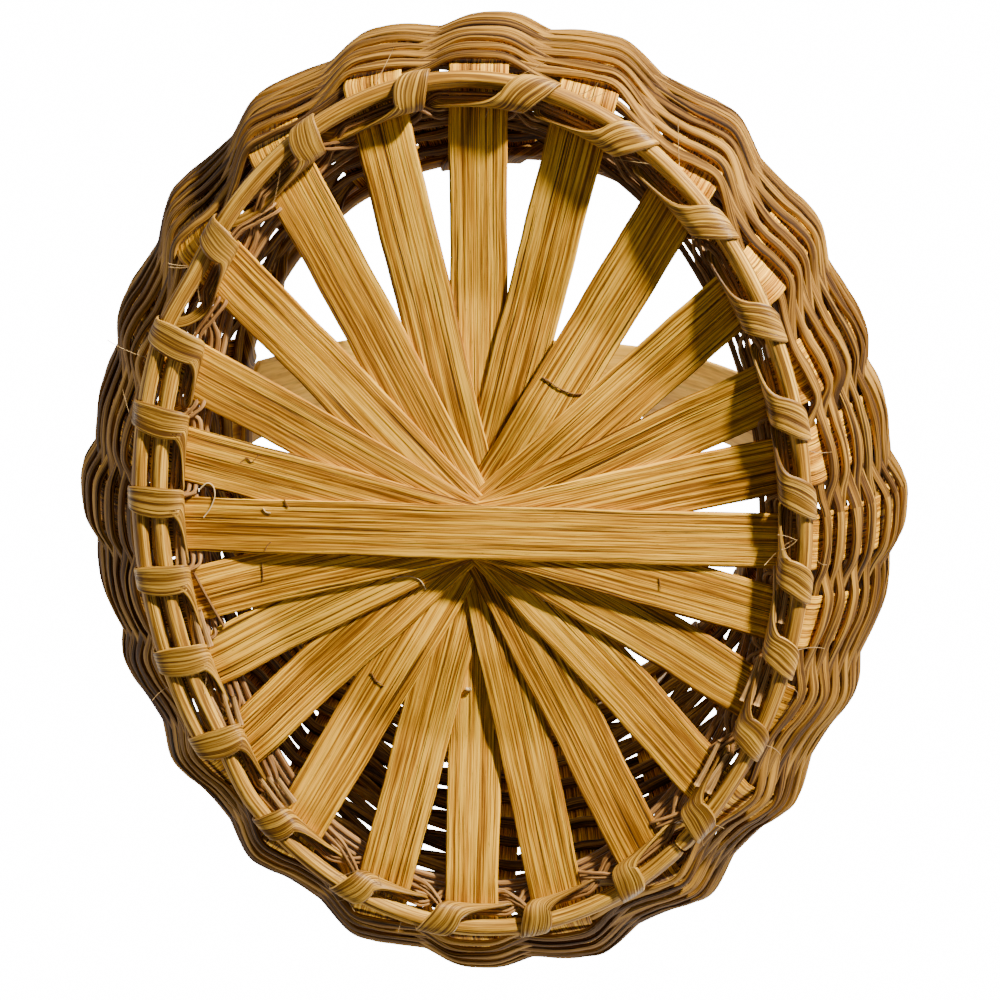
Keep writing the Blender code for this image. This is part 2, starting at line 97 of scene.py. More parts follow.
# Foot ring
FOOT_HALF_X = 0.110
FOOT_HALF_Y = 0.1465
FOOT_CENTRE_Y = -0.0118
REED_RADIUS = 0.003
LAP_OFFSET = 0.00325
LAP_START = 150.0
LAP_END = 205.0
LAP_EASE = 13.0
BUTT_ANGLE = 52.0
BUTT_GAP = 0.4
CLEARANCE = 0.00035
REED_SIDES = 20
REED_STEP_DEGREES = 0.8
REED_TRIM = 0.0001
REED_END_SIZE = 0.86
REED_END_ROUND = 0.0022
# Long flats on the reed: how many, over how many degrees they come and go, how deep they are, the
# largest size that they leave as a share, and the lobes round the reed in the first of them
REED_FLATS = 5
REED_FLAT_DEGREES = 40.0
REED_FLAT_DEPTH = 0.035
REED_LOBE_LIMIT = 1.03
REED_FEWEST_LOBES = 2

# Reed wound round the foot ring
MM_PER_METRE = 1000.0
# The winding is worked out over three laps, and the middle one is kept
LAPS = (-1, 0, 1)
RING_STATIONS = 720
WRAP_THICKNESS = 0.0009
WRAP_TRIM = 0.00005
WRAP_EDGE_ROUND = 0.12
WRAP_EDGE_THICK = 0.35
# Spare control points at each end of a closed winding
WRAP_LEAD = 2
WRAP_ROOM = 0.00035
WRAP_RIBS = 9
WRAP_RIB_DEPTH = 0.00022
WRAP_COLUMNS = 24
WRAP_STEPS = 10
WRAP_WIDTHS = (0.0080, 0.0108, 0.0060, 0.0032)
WRAP_TIP_OVERSHOOT = 0.005
WRAP_SQUARENESS = 2.7
# Room between the wrap and the spokes on both sides where it crosses over the ring, and where and
# how wide it is once it has come down inside the ring
WRAP_SPOKE_ROOM = 0.0034
WRAP_DOWN_ANGLE = 2.84 * math.pi
WRAP_DOWN_STEP = 0.0012
WRAP_DOWN_WIDTH = 0.0042
# For each wrap: how far past its spoke it crosses the ring, and how far it slants, in mm
WRAPS = (
    (11, 6.0), (11, 6.0), (11, 5.5), (10, 5.0), (7, 4.0), (8, 4.5), (10, 6.0), (10, 5.0),
    (8, 4.0), (7, 3.0), (6, 2.5), (9, 2.0), (9, 2.0), (10, 2.5), (6, 3.0), (5, 4.0),
    (11, 4.0), (12, 4.5), (15, 8.0), (15, 8.0), (13, 8.0), (11, 7.5), (10, 7.0), (10, 6.5),
)
# How far the wraps stand out past the inner edge of the ring
WRAP_INNER_EXTRA = 0.0044

# Wall outline: height, half widths and centre, at the floor, the belly and the mouth
WALL_BASE_Z = 0.0080
BELLY_Z = 0.075
RIM_Z = 0.180
FLOOR_EDGE = (0.1145, 0.151, -0.0118)
BELLY = (0.1452, 0.1768, 0.0002)
MOUTH = (0.1170, 0.1190, -0.0068)
# The tails of the handle push the two stakes they lie behind outwards
TAIL_PUSH = 0.004
TAIL_PUSH_START_Z = 0.010
TAIL_PUSH_RISE = 0.030
TAIL_PUSH_END_Z = 0.168
TAIL_PUSH_FALL = 0.045
# The wall is less full on the diagonals than an oval, mostly at the +Y end
DIAGONAL_DRAW = 0.005

# Rows of reed in the wall: in the first of its bands, and in all the bands above that
BAND_COUNT = 14
FIRST_BAND_ROWS = 4
UPPER_ROWS = 33
WALL_START = 0.0105
FIRST_ROW_START = 0.0050
ROW_WIDTH = 0.0052
ROW_THICKNESS = 0.0022
ROW_SQUARENESS = 0.68
FIRST_ROW_SIZE = 0.88
ROW_SIDES = 18
ROW_RIDGES = 0.075
ROW_STEPS = 6
ROW_BULGE = 0.0009
ROW_SAG = 0.0006
ROW_WANDER = 0.0012
ROW_EDGE_WANDER = 0.7
ROW_TWIST = 0.30
ROW_WAVES = (9, 16, 23, 31)
ROW_SWELL = 0.09
ROW_HOLD = 0.0088
ROW_TILT = 0.0003
ROW_GAP = 0.00025
ROW_GRAIN_START = 3.0
WALL_SEED = 500
WEAVER_TINT = 0.10
WEAVER_TINT_STEP = 1.9
WEAVER_TINT_START = 0.5
ROW_SIZES = (0.88, 1.07)
STAKE_EDGE = 0.0095

# Thin twined reeds just inside the ring: how far in they lie in front of and behind a spoke
TWINES = ((0.0042, 0.0092), (0.0056, 0.0115))
# How far below a spoke a strand hangs where it passes in front of it
TWINE_SLACK = 0.0006
TWINE_WANDER = 0.0001
# Share of a spoke's half width over which a strand lies flat on it
TWINE_HOLD = 0.97
TWINE_GAP = 0.0002
TWINE_STEPS = 5
TWINE_SIDES = 8
TWINE_SEED = 300
TWINE_RADIUS = 0.00105
TWINE_FRONT_SIZE = 0.64
# Where the strands of a pair have changed sides, before the next spoke, and their heights there
TWINE_CROSSED = 0.0150
TWINE_DIP = 0.0017
TWINE_LIFT = 0.0004
# Rows of thin reed behind the spokes, above the twined pairs: how far inside the ring they lie
LINING_INSETS = ((0.0058, 0.0108), (0.0083, 0.0133))
LINING_RADIUS = 0.0011
LINING_WAVE = 0.00015
LINING_GAP = 0.0004
LINING_STEPS = 8
# Cut reed ends that stick out of a wrap inside the ring: its spoke, the way they point, how many
CUT_ENDS = ((11, 1, 2), (10, 1, 3), (9, 1, 3), (8, 1, 4), (3, -1, 3), (2, -1, 3), (1, -1, 2))
CUT_END_LENGTHS = (0.0095, 0.0150)
CUT_END_WIDTHS = (0.0019, 0.0025)
CUT_END_THICKNESS = 0.0014
CUT_END_BACK = 0.001
CUT_END_HIDDEN = 0.006
CUT_END_INSET = 0.0044
CUT_END_PITCH = 0.0025
CUT_END_AHEAD = 0.002
CUT_END_SPLAYS = (-0.0012, 0.0022)
CUT_END_DEPTH = 0.0036
CUT_END_STAGGER = 0.0007
CUT_END_RISE = 0.0008
CUT_END_TAPER = 0.35
CUT_END_SHARES = (0.0, 0.35, 0.7, 1.0)
CUT_END_STEPS = 4
CUT_END_SIDES = 10
CUT_END_SQUARENESS = 0.8
CUT_END_SEED = 320

# Light from all round, from under the floor and from above it, and the white background
SOFT_BELOW = 0.05
SOFT_ABOVE = 0.90
SOFT_FULL = 0.25
WHITE_BEHIND = 16.0
# Lights: name, direction from the basket, distance, width, power in watts and colour
LIGHTS = (
    ("key", (0.58, -0.72, -0.335), 1.05, 0.075, 42.0, (1.0, 0.94, 0.80)),
    ("front", (0.10, -0.25, -1.0), 1.2, 0.7, 1.05, (1.0, 0.95, 0.82)),
    ("low end", (0.42, 0.90, -0.03), 1.3, 0.4, 14.0, (1.0, 0.96, 0.84)),
    ("left side", (-1.0, 0.20, -0.02), 1.4, 0.4, 11.0, (1.0, 0.96, 0.86)),
    ("right side", (1.0, 0.30, 0.06), 1.5, 0.8, 3.0, (1.0, 0.97, 0.92)),
)
LIGHT_TARGET = np.array([0.0, 0.0, 0.03])
LIGHT_TILT = np.array([0.13, 0.27, 0.95])
SOFT_COLOUR = (1.0, 0.985, 0.96)
WHITE = (1.0, 1.0, 1.0)
FLOOR_HALF = 1.6
FLOOR_COLOUR = (0.88, 0.87, 0.85)
FLOOR_ROUGHNESS = 0.9

# Loose fibres that lie on the floor, traced in the photograph: pixels, radius, shade of the fibre
FLOOR_FIBRES = (
    (((542, 377), (550, 382), (557, 387), (565, 391), (574, 394), (583, 394)), 0.00021, 0),
    (((285, 499), (286, 503), (289, 507)), 0.00020, 0),
    (((263, 508), (266, 512), (271, 513)), 0.00020, 1),
    (((265, 551), (267, 546), (271, 542)), 0.00018, 0),
    (((204, 517), (211, 507), (215, 495), (213, 486), (207, 483), (199, 490)), 0.00026, 1),
    (((194, 572), (203, 589), (213, 607), (224, 626)), 0.00050, 0),
    (((262, 563), (263, 572), (263, 581)), 0.00016, 0),
    (((392, 578), (408, 576), (416, 578), (421, 581), (426, 589)), 0.00020, 1),
    (((371, 672), (376, 680), (384, 686)), 0.00018, 0),
    (((240, 463), (247, 458), (252, 462), (259, 455)), 0.00018, 0),
    (((466, 688), (469, 689), (471, 688)), 0.00070, 1),
    (((659, 578), (660, 583), (660, 589)), 0.00016, 0),
)
FIBRE_STEPS = 6
FIBRE_SIDES = 6
# Times that a fibre's place and the height of the spoke there are worked out from each other
FIBRE_PASSES = 3
# Hairs: how far round from under the ring they start, how far they lean out and bend
HAIR_COUNT = 40
HAIR_RADIUS = 0.00011
HAIR_LENGTHS = (0.004, 0.010)
HAIR_SIDES = (0.6, 1.0)
HAIR_DEPTH = 0.9
HAIR_LEANS = (0.4, 1.0)
HAIR_BENDS = (0.2, 0.8)
HAIR_POINTS = 8
HAIR_CORNERS = 5
HAIR_LOWEST = 0.0012
HAIR_BELOW_FLOOR = 0.0008
HAIR_SEED = 900

# Rim
RIM_REED_HEIGHT = 0.0070
RIM_REED_THICKNESS = 0.0036
RIM_BELOW_TOP = 0.0036
RIM_GAP_BELOW = 0.0023
WEAVE_CLEARANCE = 0.00045
RIM_WRAP_WIDTH = 0.0080
RIM_WRAP_ROOM = 0.0005
RIM_STEPS = 8
RIM_REED_SIDES = 20
RIM_REED_TRIM = 0.0002
RIM_REED_SQUARENESS = 0.8
RIM_WRAP_THICKNESS = 0.0008
RIM_WRAP_NARROW = 0.0050
RIM_WRAP_SLANT = 0.0015
RIM_WRAP_END = 0.002
RIM_WRAP_STEPS = 10
RIM_WRAP_COLUMNS = 16
RIM_WRAP_RIBS = 6
RIM_WRAP_RIB_DEPTH = 0.00012
RIM_WRAP_SQUARENESS = 5.0

# Hoop handle
HANDLE_WIDTH = 0.034
HANDLE_TUCK_WIDTH = 0.019
HANDLE_SHIFT = -0.004
HANDLE_LEFT_SHIFT = -0.009
HANDLE_LEFT_REACH = 0.100
HANDLE_THICKNESS = 0.0032
HANDLE_TOP_Z = 0.300
HANDLE_LOW_Z = 0.045
HANDLE_RISE = 0.062
HANDLE_TOP_REACH = 0.070
HANDLE_FLAT = 0.009
HANDLE_FLARE = 0.010
HANDLE_TUCK_STATIONS = 30
HANDLE_HOOP_STATIONS = 60
HANDLE_SIDES = 40
HANDLE_SQUARENESS = 0.35

# Colours of each wood: dark, middle and light
# The wide spread from dark to light in the spoke colours is partly the reed's own streaks and partly painted
# shade of its fine ridges under a low light
SPOKE_GRAIN_AND_RIDGE_SHADE_PALETTE = ((0.21, 0.074, 0.003), (0.60, 0.262, 0.011), (1.00, 0.56, 0.045))
REED_PALETTE = ((0.19, 0.078, 0.006), (0.45, 0.212, 0.019), (0.78, 0.45, 0.070))
CUT_PALETTE = ((0.17, 0.070, 0.016), (0.36, 0.180, 0.048), (0.60, 0.35, 0.120))
LASHING_PALETTE = ((0.10, 0.038, 0.003), (0.28, 0.128, 0.011), (0.64, 0.355, 0.050))
WEAVER_PALETTE = ((0.034, 0.012, 0.0015), (0.170, 0.075, 0.010), (0.39, 0.20, 0.032))
TWINE_PALETTE = ((0.12, 0.045, 0.010), (0.27, 0.120, 0.028), (0.46, 0.24, 0.075))
HANDLE_PALETTE = ((0.66, 0.320, 0.032), (0.84, 0.450, 0.052), (0.95, 0.55, 0.085))
HAIR_PALETTE = ((0.30, 0.17, 0.06), (0.58, 0.38, 0.16), (0.85, 0.68, 0.40))
FIBRE_SHADES = (
    ("brown", ((0.07, 0.026, 0.006), (0.16, 0.068, 0.016), (0.28, 0.135, 0.034))),
    ("pale", ((0.46, 0.29, 0.11), (0.66, 0.46, 0.20), (0.85, 0.70, 0.42))),
)

# Wood: where the noises start for each seed, what they add up from, and which parts of them count as
# dark lines and as specks
NOISE_SHIFT = (3.7, 1.9, 0.7)
STREAK_SHARE = 0.52
FINE_SHARE = 0.28
TONE_STOPS = (0.43, 0.50, 0.57)
LINE_RANGE = (0.62, 0.68)
LINE_SHADE = 0.36
SPECK_RANGE = (0.66, 0.74)
SPECK_SHADE = 0.42
ROUGHNESS_SPREAD = 0.22
RELIEF_SHARES = (0.7, 0.5, -0.5)
RELIEF_DEPTH = 0.0005

# The photograph's camera
EYE = np.array([0.0572, -0.1659, -0.5980])
CAMERA_RIGHT = np.array([0.9969, 0.0321, 0.0716])
CAMERA_UP = np.array([0.0144, -0.9718, 0.2352])
CAMERA_BACK = np.array([0.0772, -0.2334, -0.9693])
CAMERA_FOCAL = 1860.0
IMAGE_SIZE = 1000.0
SENSOR_WIDTH = 36.0
NEAREST_SEEN = 0.01
FARTHEST_SEEN = 20.0

REED_Z = WRAP_THICKNESS + CLEARANCE + REED_RADIUS
FLOOR_Z = REED_Z + REED_RADIUS + CLEARANCE + SPOKE_THICKNESS / 2
UP = np.array([0.0, 0.0, 1.0])
HUB = np.array([0.0, HUB_Y, 0.0])
FULL_TURN = 2.0 * math.pi


# Helpers for numbers and lines

def blend(a, b, t):
    return a + (b - a) * t


def smooth_step(t):
    t = min(max(t, 0.0), 1.0)
    return t * t * (3.0 - 2.0 * t)


def unit(vector):
    return vector / np.linalg.norm(vector)


def unit_rows(vectors):
    return vectors / np.linalg.norm(vectors, axis=1, keepdims=True)


def arc_lengths(line):
    steps = np.linalg.norm(np.diff(line, axis=0), axis=1)
    return np.concatenate([[0.0], np.cumsum(steps)])


def wander(rng, places, wavelength, amount):
    """A smooth random line: a few slow waves with random phases."""
    value = np.zeros(len(places))
    for share in WAVE_SHARES:
        phase = rng.uniform(0.0, FULL_TURN)
        value += np.sin(places * FULL_TURN / (wavelength * share) + phase) * share
    return value * amount / WAVE_TOTAL


def curve_through(points, steps, closed):
    """A smooth line through rows of numbers, with equal steps between each pair."""
    points = np.asarray(points, float)
    if closed:
        padded = np.concatenate([points[-1:], points, points[:2]])
    else:
        padded = np.concatenate([2 * points[:1] - points[1:2], points, 2 * points[-1:] - points[-2:-1]])
    line = []
    t = np.arange(steps)[:, None] / steps
    for a, b, c, d in zip(padded, padded[1:], padded[2:], padded[3:]):
        line.append(0.5 * (2 * b + (c - a) * t + (2 * a - 5 * b + 4 * c - d) * t ** 2
                           + (3 * b - a - 3 * c + d) * t ** 3))
    line = np.concatenate(line)
    return line if closed else np.concatenate([line, points[-1:]])


def directions(line, closed):
    if closed:
        return unit_rows(np.roll(line, -1, axis=0) - np.roll(line, 1, axis=0))
    return unit_rows(np.gradient(line, axis=0))


# Outline of the basket, as in the part

def wall_outline(z):
    """Half widths and centre of the wall's oval at height z."""
    if z < BELLY_Z:
        swell = math.sin(math.pi / 2 * (z - WALL_BASE_Z) / (BELLY_Z - WALL_BASE_Z))
        pair = (FLOOR_EDGE, BELLY)
    else:
        swell = 1.0 - math.cos(math.pi / 2 * (z - BELLY_Z) / (RIM_Z - BELLY_Z))
        pair = (BELLY, MOUTH)
    return [blend(pair[0][i], pair[1][i], swell) for i in range(3)]


def tail_push(z):
    """How far a stake with a handle tail behind it stands out from the oval at height z."""
    rise = smooth_step((z - TAIL_PUSH_START_Z) / TAIL_PUSH_RISE)
    fall = smooth_step((TAIL_PUSH_END_Z - z) / TAIL_PUSH_FALL)
    return TAIL_PUSH * min(rise, fall)


def diagonal_draw(z, angle):
    """How far the wall stands in from the oval at height z, in a direction in radians."""
    swell = math.sin(math.pi * (z - WALL_BASE_Z) / (RIM_Z - WALL_BASE_Z))
    towards_end = (1.0 + math.sin(angle)) / (1.0 + math.sqrt(0.5))
    return DIAGONAL_DRAW * swell * math.sin(2.0 * angle) ** 2 * towards_end


def reach(direction, half_x, half_y, centre_y):
    """Distance from the hub to an oval, along a direction in radians."""
    ux = math.cos(direction) / half_x
    uy = math.sin(direction) / half_y
    start_y = (HUB_Y - centre_y) / half_y
    a = ux * ux + uy * uy
    b = 2.0 * uy * start_y
    c = start_y * start_y - 1.0
    return (-b + math.sqrt(b * b - 4.0 * a * c)) / (2.0 * a)


def round_corners(points, passes):
    line = np.array(points)
    for _ in range(passes):
        near = line[:-1] * 0.75 + line[1:] * 0.25
        far = line[:-1] * 0.25 + line[1:] * 0.75
        inner = np.stack([near, far], axis=1).reshape(-1, line.shape[1])
        line = np.concatenate([line[:1], inner, line[-1:]])
    return line


class Stake:
    """Half of one spoke, from the hub out over the foot ring and up the wall."""

    def __init__(self, degrees, hub_level, fan_level, holds_handle):
        self.angle = math.radians(degrees)
        self.holds_handle = holds_handle
        self.out = np.array([math.cos(self.angle), math.sin(self.angle), 0.0])
        self.side = np.array([-math.sin(self.angle), math.cos(self.angle), 0.0])
        self.ring = reach(self.angle, FOOT_HALF_X, FOOT_HALF_Y, FOOT_CENTRE_Y)
        self.line = round_corners(self.outline(hub_level, fan_level), CORNER_PASSES)
        lengths = arc_lengths(self.line)
        half = len(lengths) // 2
        self.lengths = lengths - np.interp(self.ring, self.line[:half, 0], lengths[:half])
        self.top = self.lengths[-1]

    def outline(self, hub_level, fan_level):
        hub_z = FLOOR_Z + hub_level * STACK_PITCH
        fan_z = FLOOR_Z + fan_level * STACK_PITCH
        level_radius = self.ring - FLOOR_LEVEL_MARGIN
        stations = [
            (0.0, hub_z),
            (STACK_FLAT_RADIUS, hub_z),
            (STACK_SPREAD_RADIUS, fan_z),
            (FAN_OPEN_RADIUS, fan_z),
            (level_radius, FLOOR_Z),
        ]
        line = []
        for (near, near_z), (far, far_z) in zip(stations, stations[1:]):
            for t in np.linspace(0.0, 1.0, SPAN_STATIONS)[:-1]:
                line.append((blend(near, far, t), blend(near_z, far_z, t)))
        edge = reach(self.angle, *FLOOR_EDGE)
        for distance in np.linspace(level_radius, edge, EDGE_STATIONS):
            line.append((distance, FLOOR_Z))
        rise = np.linspace(0.0, 1.0, WALL_STATIONS)[1:]
        for height in FLOOR_Z + (RIM_Z - FLOOR_Z) * rise:
            push = tail_push(height) if self.holds_handle else 0.0
            push -= diagonal_draw(height, self.angle)
            line.append((reach(self.angle, *wall_outline(height)) + push, height))
        return line

    def at(self, length):
        """Distance and height on the line, and the normal that faces out of the basket."""
        ends = [np.array([np.interp(length + s, self.lengths, self.line[:, i]) for i in range(2)])
                for s in (-NORMAL_STEP, NORMAL_STEP)]
        along = unit(ends[1] - ends[0])
        middle = np.array([np.interp(length, self.lengths, self.line[:, i]) for i in range(2)])
        return middle, np.array([along[1], -along[0]])

    def point(self, length, outward=0.0, sideways=0.0):
        middle, normal = self.at(length)
        distance, height = middle + normal * outward
        return self.out * distance + self.side * sideways + UP * height + HUB

    def facing(self, length):
        """The direction out of the basket at a length on the stake."""
        _, normal = self.at(length)
        return self.out * normal[0] + UP * normal[1]


STAKES = [Stake(degrees + half_turn, hub, fan, index == 0)
          for half_turn in (0.0, 180.0) for index, (degrees, hub, fan) in enumerate(SPOKES)]
STAKE_COUNT = len(STAKES)
HALF_COUNT = STAKE_COUNT // 2


def foot_point(turn, offset, height):
    """A point by the foot ring, offset outwards from its line."""
    normal = foot_normal(turn)
    centre = np.array([FOOT_HALF_X * math.cos(turn), FOOT_CENTRE_Y + FOOT_HALF_Y * math.sin(turn), height])
    return centre + normal * offset


def foot_normal(turn):
    return unit(np.array([math.cos(turn) / FOOT_HALF_X, math.sin(turn) / FOOT_HALF_Y, 0.0]))


def foot_turn(stake):
    """Angle on the foot oval at which a stake crosses the ring."""
    x, y = stake.out[:2] * stake.ring
    return math.atan2((y + HUB_Y - FOOT_CENTRE_Y) / FOOT_HALF_Y, x / FOOT_HALF_X)


def long_reed_offset(degrees):
    return LAP_OFFSET * smooth_step((LAP_END + LAP_EASE - 360.0 - degrees) / LAP_EASE)


def short_reed_offset(degrees):
    return -LAP_OFFSET * smooth_step((degrees - LAP_START + LAP_EASE) / LAP_EASE)


def reed_reach(turn):
    """How far the reeds of the ring reach inwards and outwards at a place."""
    degrees = math.degrees(turn) % 360.0
    inner = 0.0
    outer = 0.0
    if LAP_START - LAP_EASE < degrees < LAP_END + LAP_EASE:
        before = smooth_step((degrees - LAP_START + LAP_EASE) / LAP_EASE)
        after = smooth_step((LAP_END + LAP_EASE - degrees) / LAP_EASE)
        inner = -LAP_OFFSET * min(before, after)
        outer = -inner
    return inner, outer


def ring_pace(turn):
    """Metres along the foot ring for each radian, at a place."""
    step = 0.01
    return np.linalg.norm(foot_point(turn + step, 0, 0) - foot_point(turn - step, 0, 0)) / (2 * step)


# Meshes and objects

def add_object(name, data):
    made = bpy.data.objects.new(name, data)
    bpy.context.scene.collection.objects.link(made)
    return made


def stand(made, right, up, back, place):
    """Puts an object at a place, with its axes along three directions."""
    columns = np.stack([right, up, back, place], axis=1)
    made.matrix_world = Matrix([*columns.tolist(), (0.0, 0.0, 0.0, 1.0)])


class Body:
    """A mesh in the making, out of tubes that each run through equal rings of points."""

    def __init__(self):
        self.points = []
        self.faces = []
        self.grain = []
        self.count = 0

    def tube(self, rings, closed=False, start=0.0):
        """Adds a closed tube. Its grain map holds metres along it and round it."""
        rings = np.asarray(rings, float)
        count, sides = rings.shape[:2]
        middles = rings.mean(axis=1)
        if closed:
            middles = np.concatenate([middles, middles[:1]])
        along = arc_lengths(middles) + start
        girth = np.linalg.norm(np.roll(rings, -1, axis=1) - rings, axis=2).mean(axis=0)
        around = np.concatenate([[0.0], np.cumsum(girth)])
        i, j = np.meshgrid(np.arange(count if closed else count - 1), np.arange(sides), indexing="ij")
        after, beside = (i + 1) % count, (j + 1) % sides
        quads = np.stack([i * sides + j, i * sides + beside, after * sides + beside, after * sides + j], -1)
        maps = np.stack([
            np.stack([along[i], around[j]], -1),
            np.stack([along[i], around[j + 1]], -1),
            np.stack([along[i + 1], around[j + 1]], -1),
            np.stack([along[i + 1], around[j]], -1)], 2)
        quads = quads.reshape(-1, 4)
        maps = maps.reshape(-1, 4, 2)
        points = rings.reshape(-1, 3)
        corners = points[quads]
        volume = np.einsum("ij,ij->i", corners[:, 0], np.cross(corners[:, 1], corners[:, 2])).sum()
        volume += np.einsum("ij,ij->i", corners[:, 0], np.cross(corners[:, 2], corners[:, 3])).sum()
        flip = volume < 0
        if flip:
            quads = quads[:, ::-1]
            maps = maps[:, ::-1]
        self.faces += [tuple(face) for face in (quads + self.count).tolist()]
        self.grain += maps.reshape(-1, 2).tolist()
        if not closed:
            first = list(range(sides))
            last = [(count - 1) * sides + k for k in range(sides)]
            for cap, place, turned in ((first, 0, not flip), (last, -1, flip)):
                cap = cap[::-1] if not turned else cap
                self.faces.append(tuple(index + self.count for index in cap))
                self.grain += [[along[place], around[index % sides]] for index in cap]
        self.points.append(points)
        self.count += len(points)

    def piece(self, name, material, replaces=()):
        mesh = bpy.data.meshes.new(name)
        mesh.from_pydata(np.concatenate(self.points).tolist(), [], self.faces)
        layer = mesh.uv_layers.new(name="grain")
        layer.data.foreach_set("uv", np.array(self.grain, np.float32).ravel())
        mesh.polygons.foreach_set("use_smooth", [True] * len(mesh.polygons))
        mesh.materials.append(material)
        mesh.update()
        made = add_object(name, mesh)
        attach(made, "root")
        if replaces:
            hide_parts(*replaces)


def oval_section(width, thickness, sides, power=1.0):
    """Corner points of a rounded section: across it and through it."""
    angle = np.arange(sides) * FULL_TURN / sides + math.pi / sides
    c, s = np.cos(angle), np.sin(angle)
    across = np.sign(c) * np.abs(c) ** power * width / 2
    through = np.sign(s) * np.abs(s) ** power * thickness / 2
    return across, through


def rings_along(line, facing, section, closed, facets=None, twist=None):
    """Rings of points along a line, with the section's through direction facing outwards.

    facets scales each corner of the section, or each corner of each ring. twist turns each ring.
    """
    tangents = directions(line, closed)
    facing = unit_rows(facing - tangents * (facing * tangents).sum(axis=1, keepdims=True))
    across = np.cross(tangents, facing)
    if twist is not None:
        c, s = np.cos(twist)[:, None], np.sin(twist)[:, None]
        across, facing = across * c + facing * s, facing * c - across * s
    a, t = section
    if facets is not None:
        a, t = a * facets, t * facets
    return line[:, None, :] + across[:, None, :] * a[..., None] + facing[:, None, :] * t[..., None]


def rounded_edge(across, share):
    """0 at the edges of a strip and 1 over its middle, rounded over a share of each half."""
    return np.clip((1.0 - np.abs(across)) / share, 0.0, 1.0) ** 0.5


def round_section(radius, sides):
    return oval_section(2 * radius, 2 * radius, sides)


def thin_reed(body, line, section, closed=False):
    """Adds a reed along a line, facing up. A fourth number at a point scales the section there."""
    facets = line[:, 3:] if line.shape[1] > 3 else None
    facing = np.tile(UP, (len(line), 1))
    body.tube(rings_along(line[:, :3], facing, section, closed, facets), closed)


# Materials

class Nodes:
    """Short calls for building a node tree."""

    def __init__(self, tree):
        self.tree = tree

    def feed(self, node, entry, value):
        """Gives an input of a node a value, or links it to the output of another node."""
        socket = node.inputs[entry]
        if isinstance(value, bpy.types.NodeSocket):
            self.tree.links.new(value, socket)
        elif socket.type == "RGBA":
            socket.default_value = (*value, 1.0)
        else:
            socket.default_value = value

    def add(self, kind, output, inputs=None, **settings):
        """A new node with its settings and inputs. Gives back one of its outputs."""
        node = self.tree.nodes.new("ShaderNode" + kind)
        for name, value in settings.items():
            setattr(node, name, value)
        for entry, value in (inputs or {}).items():
            self.feed(node, entry, value)
        return node.outputs[output]

    def noise(self, grain, along, across, seed, detail=3.0, rough=0.55):
        """Noise with its scale per metre along and across the grain."""
        start = tuple(seed * part for part in NOISE_SHIFT)
        stretch = {"Vector": grain, "Scale": (along, across, 1.0), "Location": start}
        place = self.add("Mapping", "Vector", stretch)
        look = {"Vector": place, "Scale": 1.0, "Detail": detail, "Roughness": rough}
        return self.add("TexNoise", "Fac", look)

    def ramp(self, value, stops, colours):
        """Colours that run into each other as a value grows, one at each stop."""
        ramp = self.add("ValToRGB", "Color", {"Fac": value})
        spots = ramp.node.color_ramp.elements
        while len(spots) < len(stops):
            spots.new(0.5)
        for spot, stop, colour in zip(spots, stops, colours):
            spot.position = stop
            spot.color = (*colour, 1.0)
        return ramp

    def math(self, operation, first, second):
        return self.add("Math", "Value", {0: first, 1: second}, operation=operation)

    def total(self, *parts):
        """The sum of some values, each times its share."""
        shares = [self.math("MULTIPLY", value, share) for value, share in parts]
        result = shares[0]
        for share in shares[1:]:
            result = self.math("ADD", result, share)
        return result

    def mask(self, value, low, high, strength):
        """0 where a value is below low, and the strength where it is above high."""
        spread = self.add("MapRange", "Result", {"Value": value, "From Min": low, "From Max": high})
        return self.math("MULTIPLY", spread, strength)


def new_material(name):
    """A material with the calls for its nodes, and its shader."""
    material = bpy.data.materials.new(name)
    material.use_nodes = True
    nodes = Nodes(material.node_tree)
    return material, nodes, nodes.tree.nodes["Principled BSDF"]


def wood(name, palette, seed, streak, rough, dark, bump, speck=0.5, gloss=0.35, mottle=0.20):
    """Split wood or reed: streaks along the grain, dark lines, small specks and a fibrous surface. On the
    spokes the streaks are partly painted shade of their fine ridges.

    streak is the number of streaks in a metre across.
    """
    material, nodes, shader = new_material(name)
    grain = nodes.add("UVMap", "UV", uv_map="grain")
    broad = nodes.noise(grain, along=9.0, across=streak * 0.06, seed=seed, detail=2.0)
    streaks = nodes.noise(grain, along=13.0, across=streak, seed=seed + 11.0, rough=0.6)
    fine = nodes.noise(grain, along=55.0, across=streak * 2.7, seed=seed + 23.0, detail=2.0, rough=0.6)
    lines = nodes.noise(grain, along=13.0, across=streak * 1.25, seed=seed + 37.0, detail=1.0)
    specks = nodes.noise(grain, along=300.0, across=streak * 1.5, seed=seed + 51.0, detail=2.0)

    tone = nodes.total((streaks, STREAK_SHARE), (broad, mottle), (fine, FINE_SHARE))
    tone = nodes.math("DIVIDE", tone, STREAK_SHARE + FINE_SHARE + mottle)
    colour = nodes.ramp(tone, TONE_STOPS, palette)
    line_mask = nodes.mask(lines, *LINE_RANGE, dark)
    speck_mask = nodes.mask(specks, *SPECK_RANGE, speck)
    for mask, shade in ((line_mask, LINE_SHADE), (speck_mask, SPECK_SHADE)):
        darker = tuple(part * shade for part in palette[0])
        colour = nodes.add("Mix", "Result", {"Factor": mask, "A": colour, "B": darker}, data_type="RGBA")
    roughness = nodes.math("MULTIPLY", fine, ROUGHNESS_SPREAD)
    roughness = nodes.math("ADD", roughness, rough - ROUGHNESS_SPREAD / 2)
    height = nodes.total(*zip((streaks, fine, line_mask), RELIEF_SHARES))
    relief = nodes.add("Bump", "Normal", {"Height": height, "Strength": bump, "Distance": RELIEF_DEPTH})
    nodes.feed(shader, "Base Color", colour)
    nodes.feed(shader, "Roughness", roughness)
    nodes.feed(shader, "Normal", relief)
    nodes.feed(shader, "Specular IOR Level", gloss)
    return material


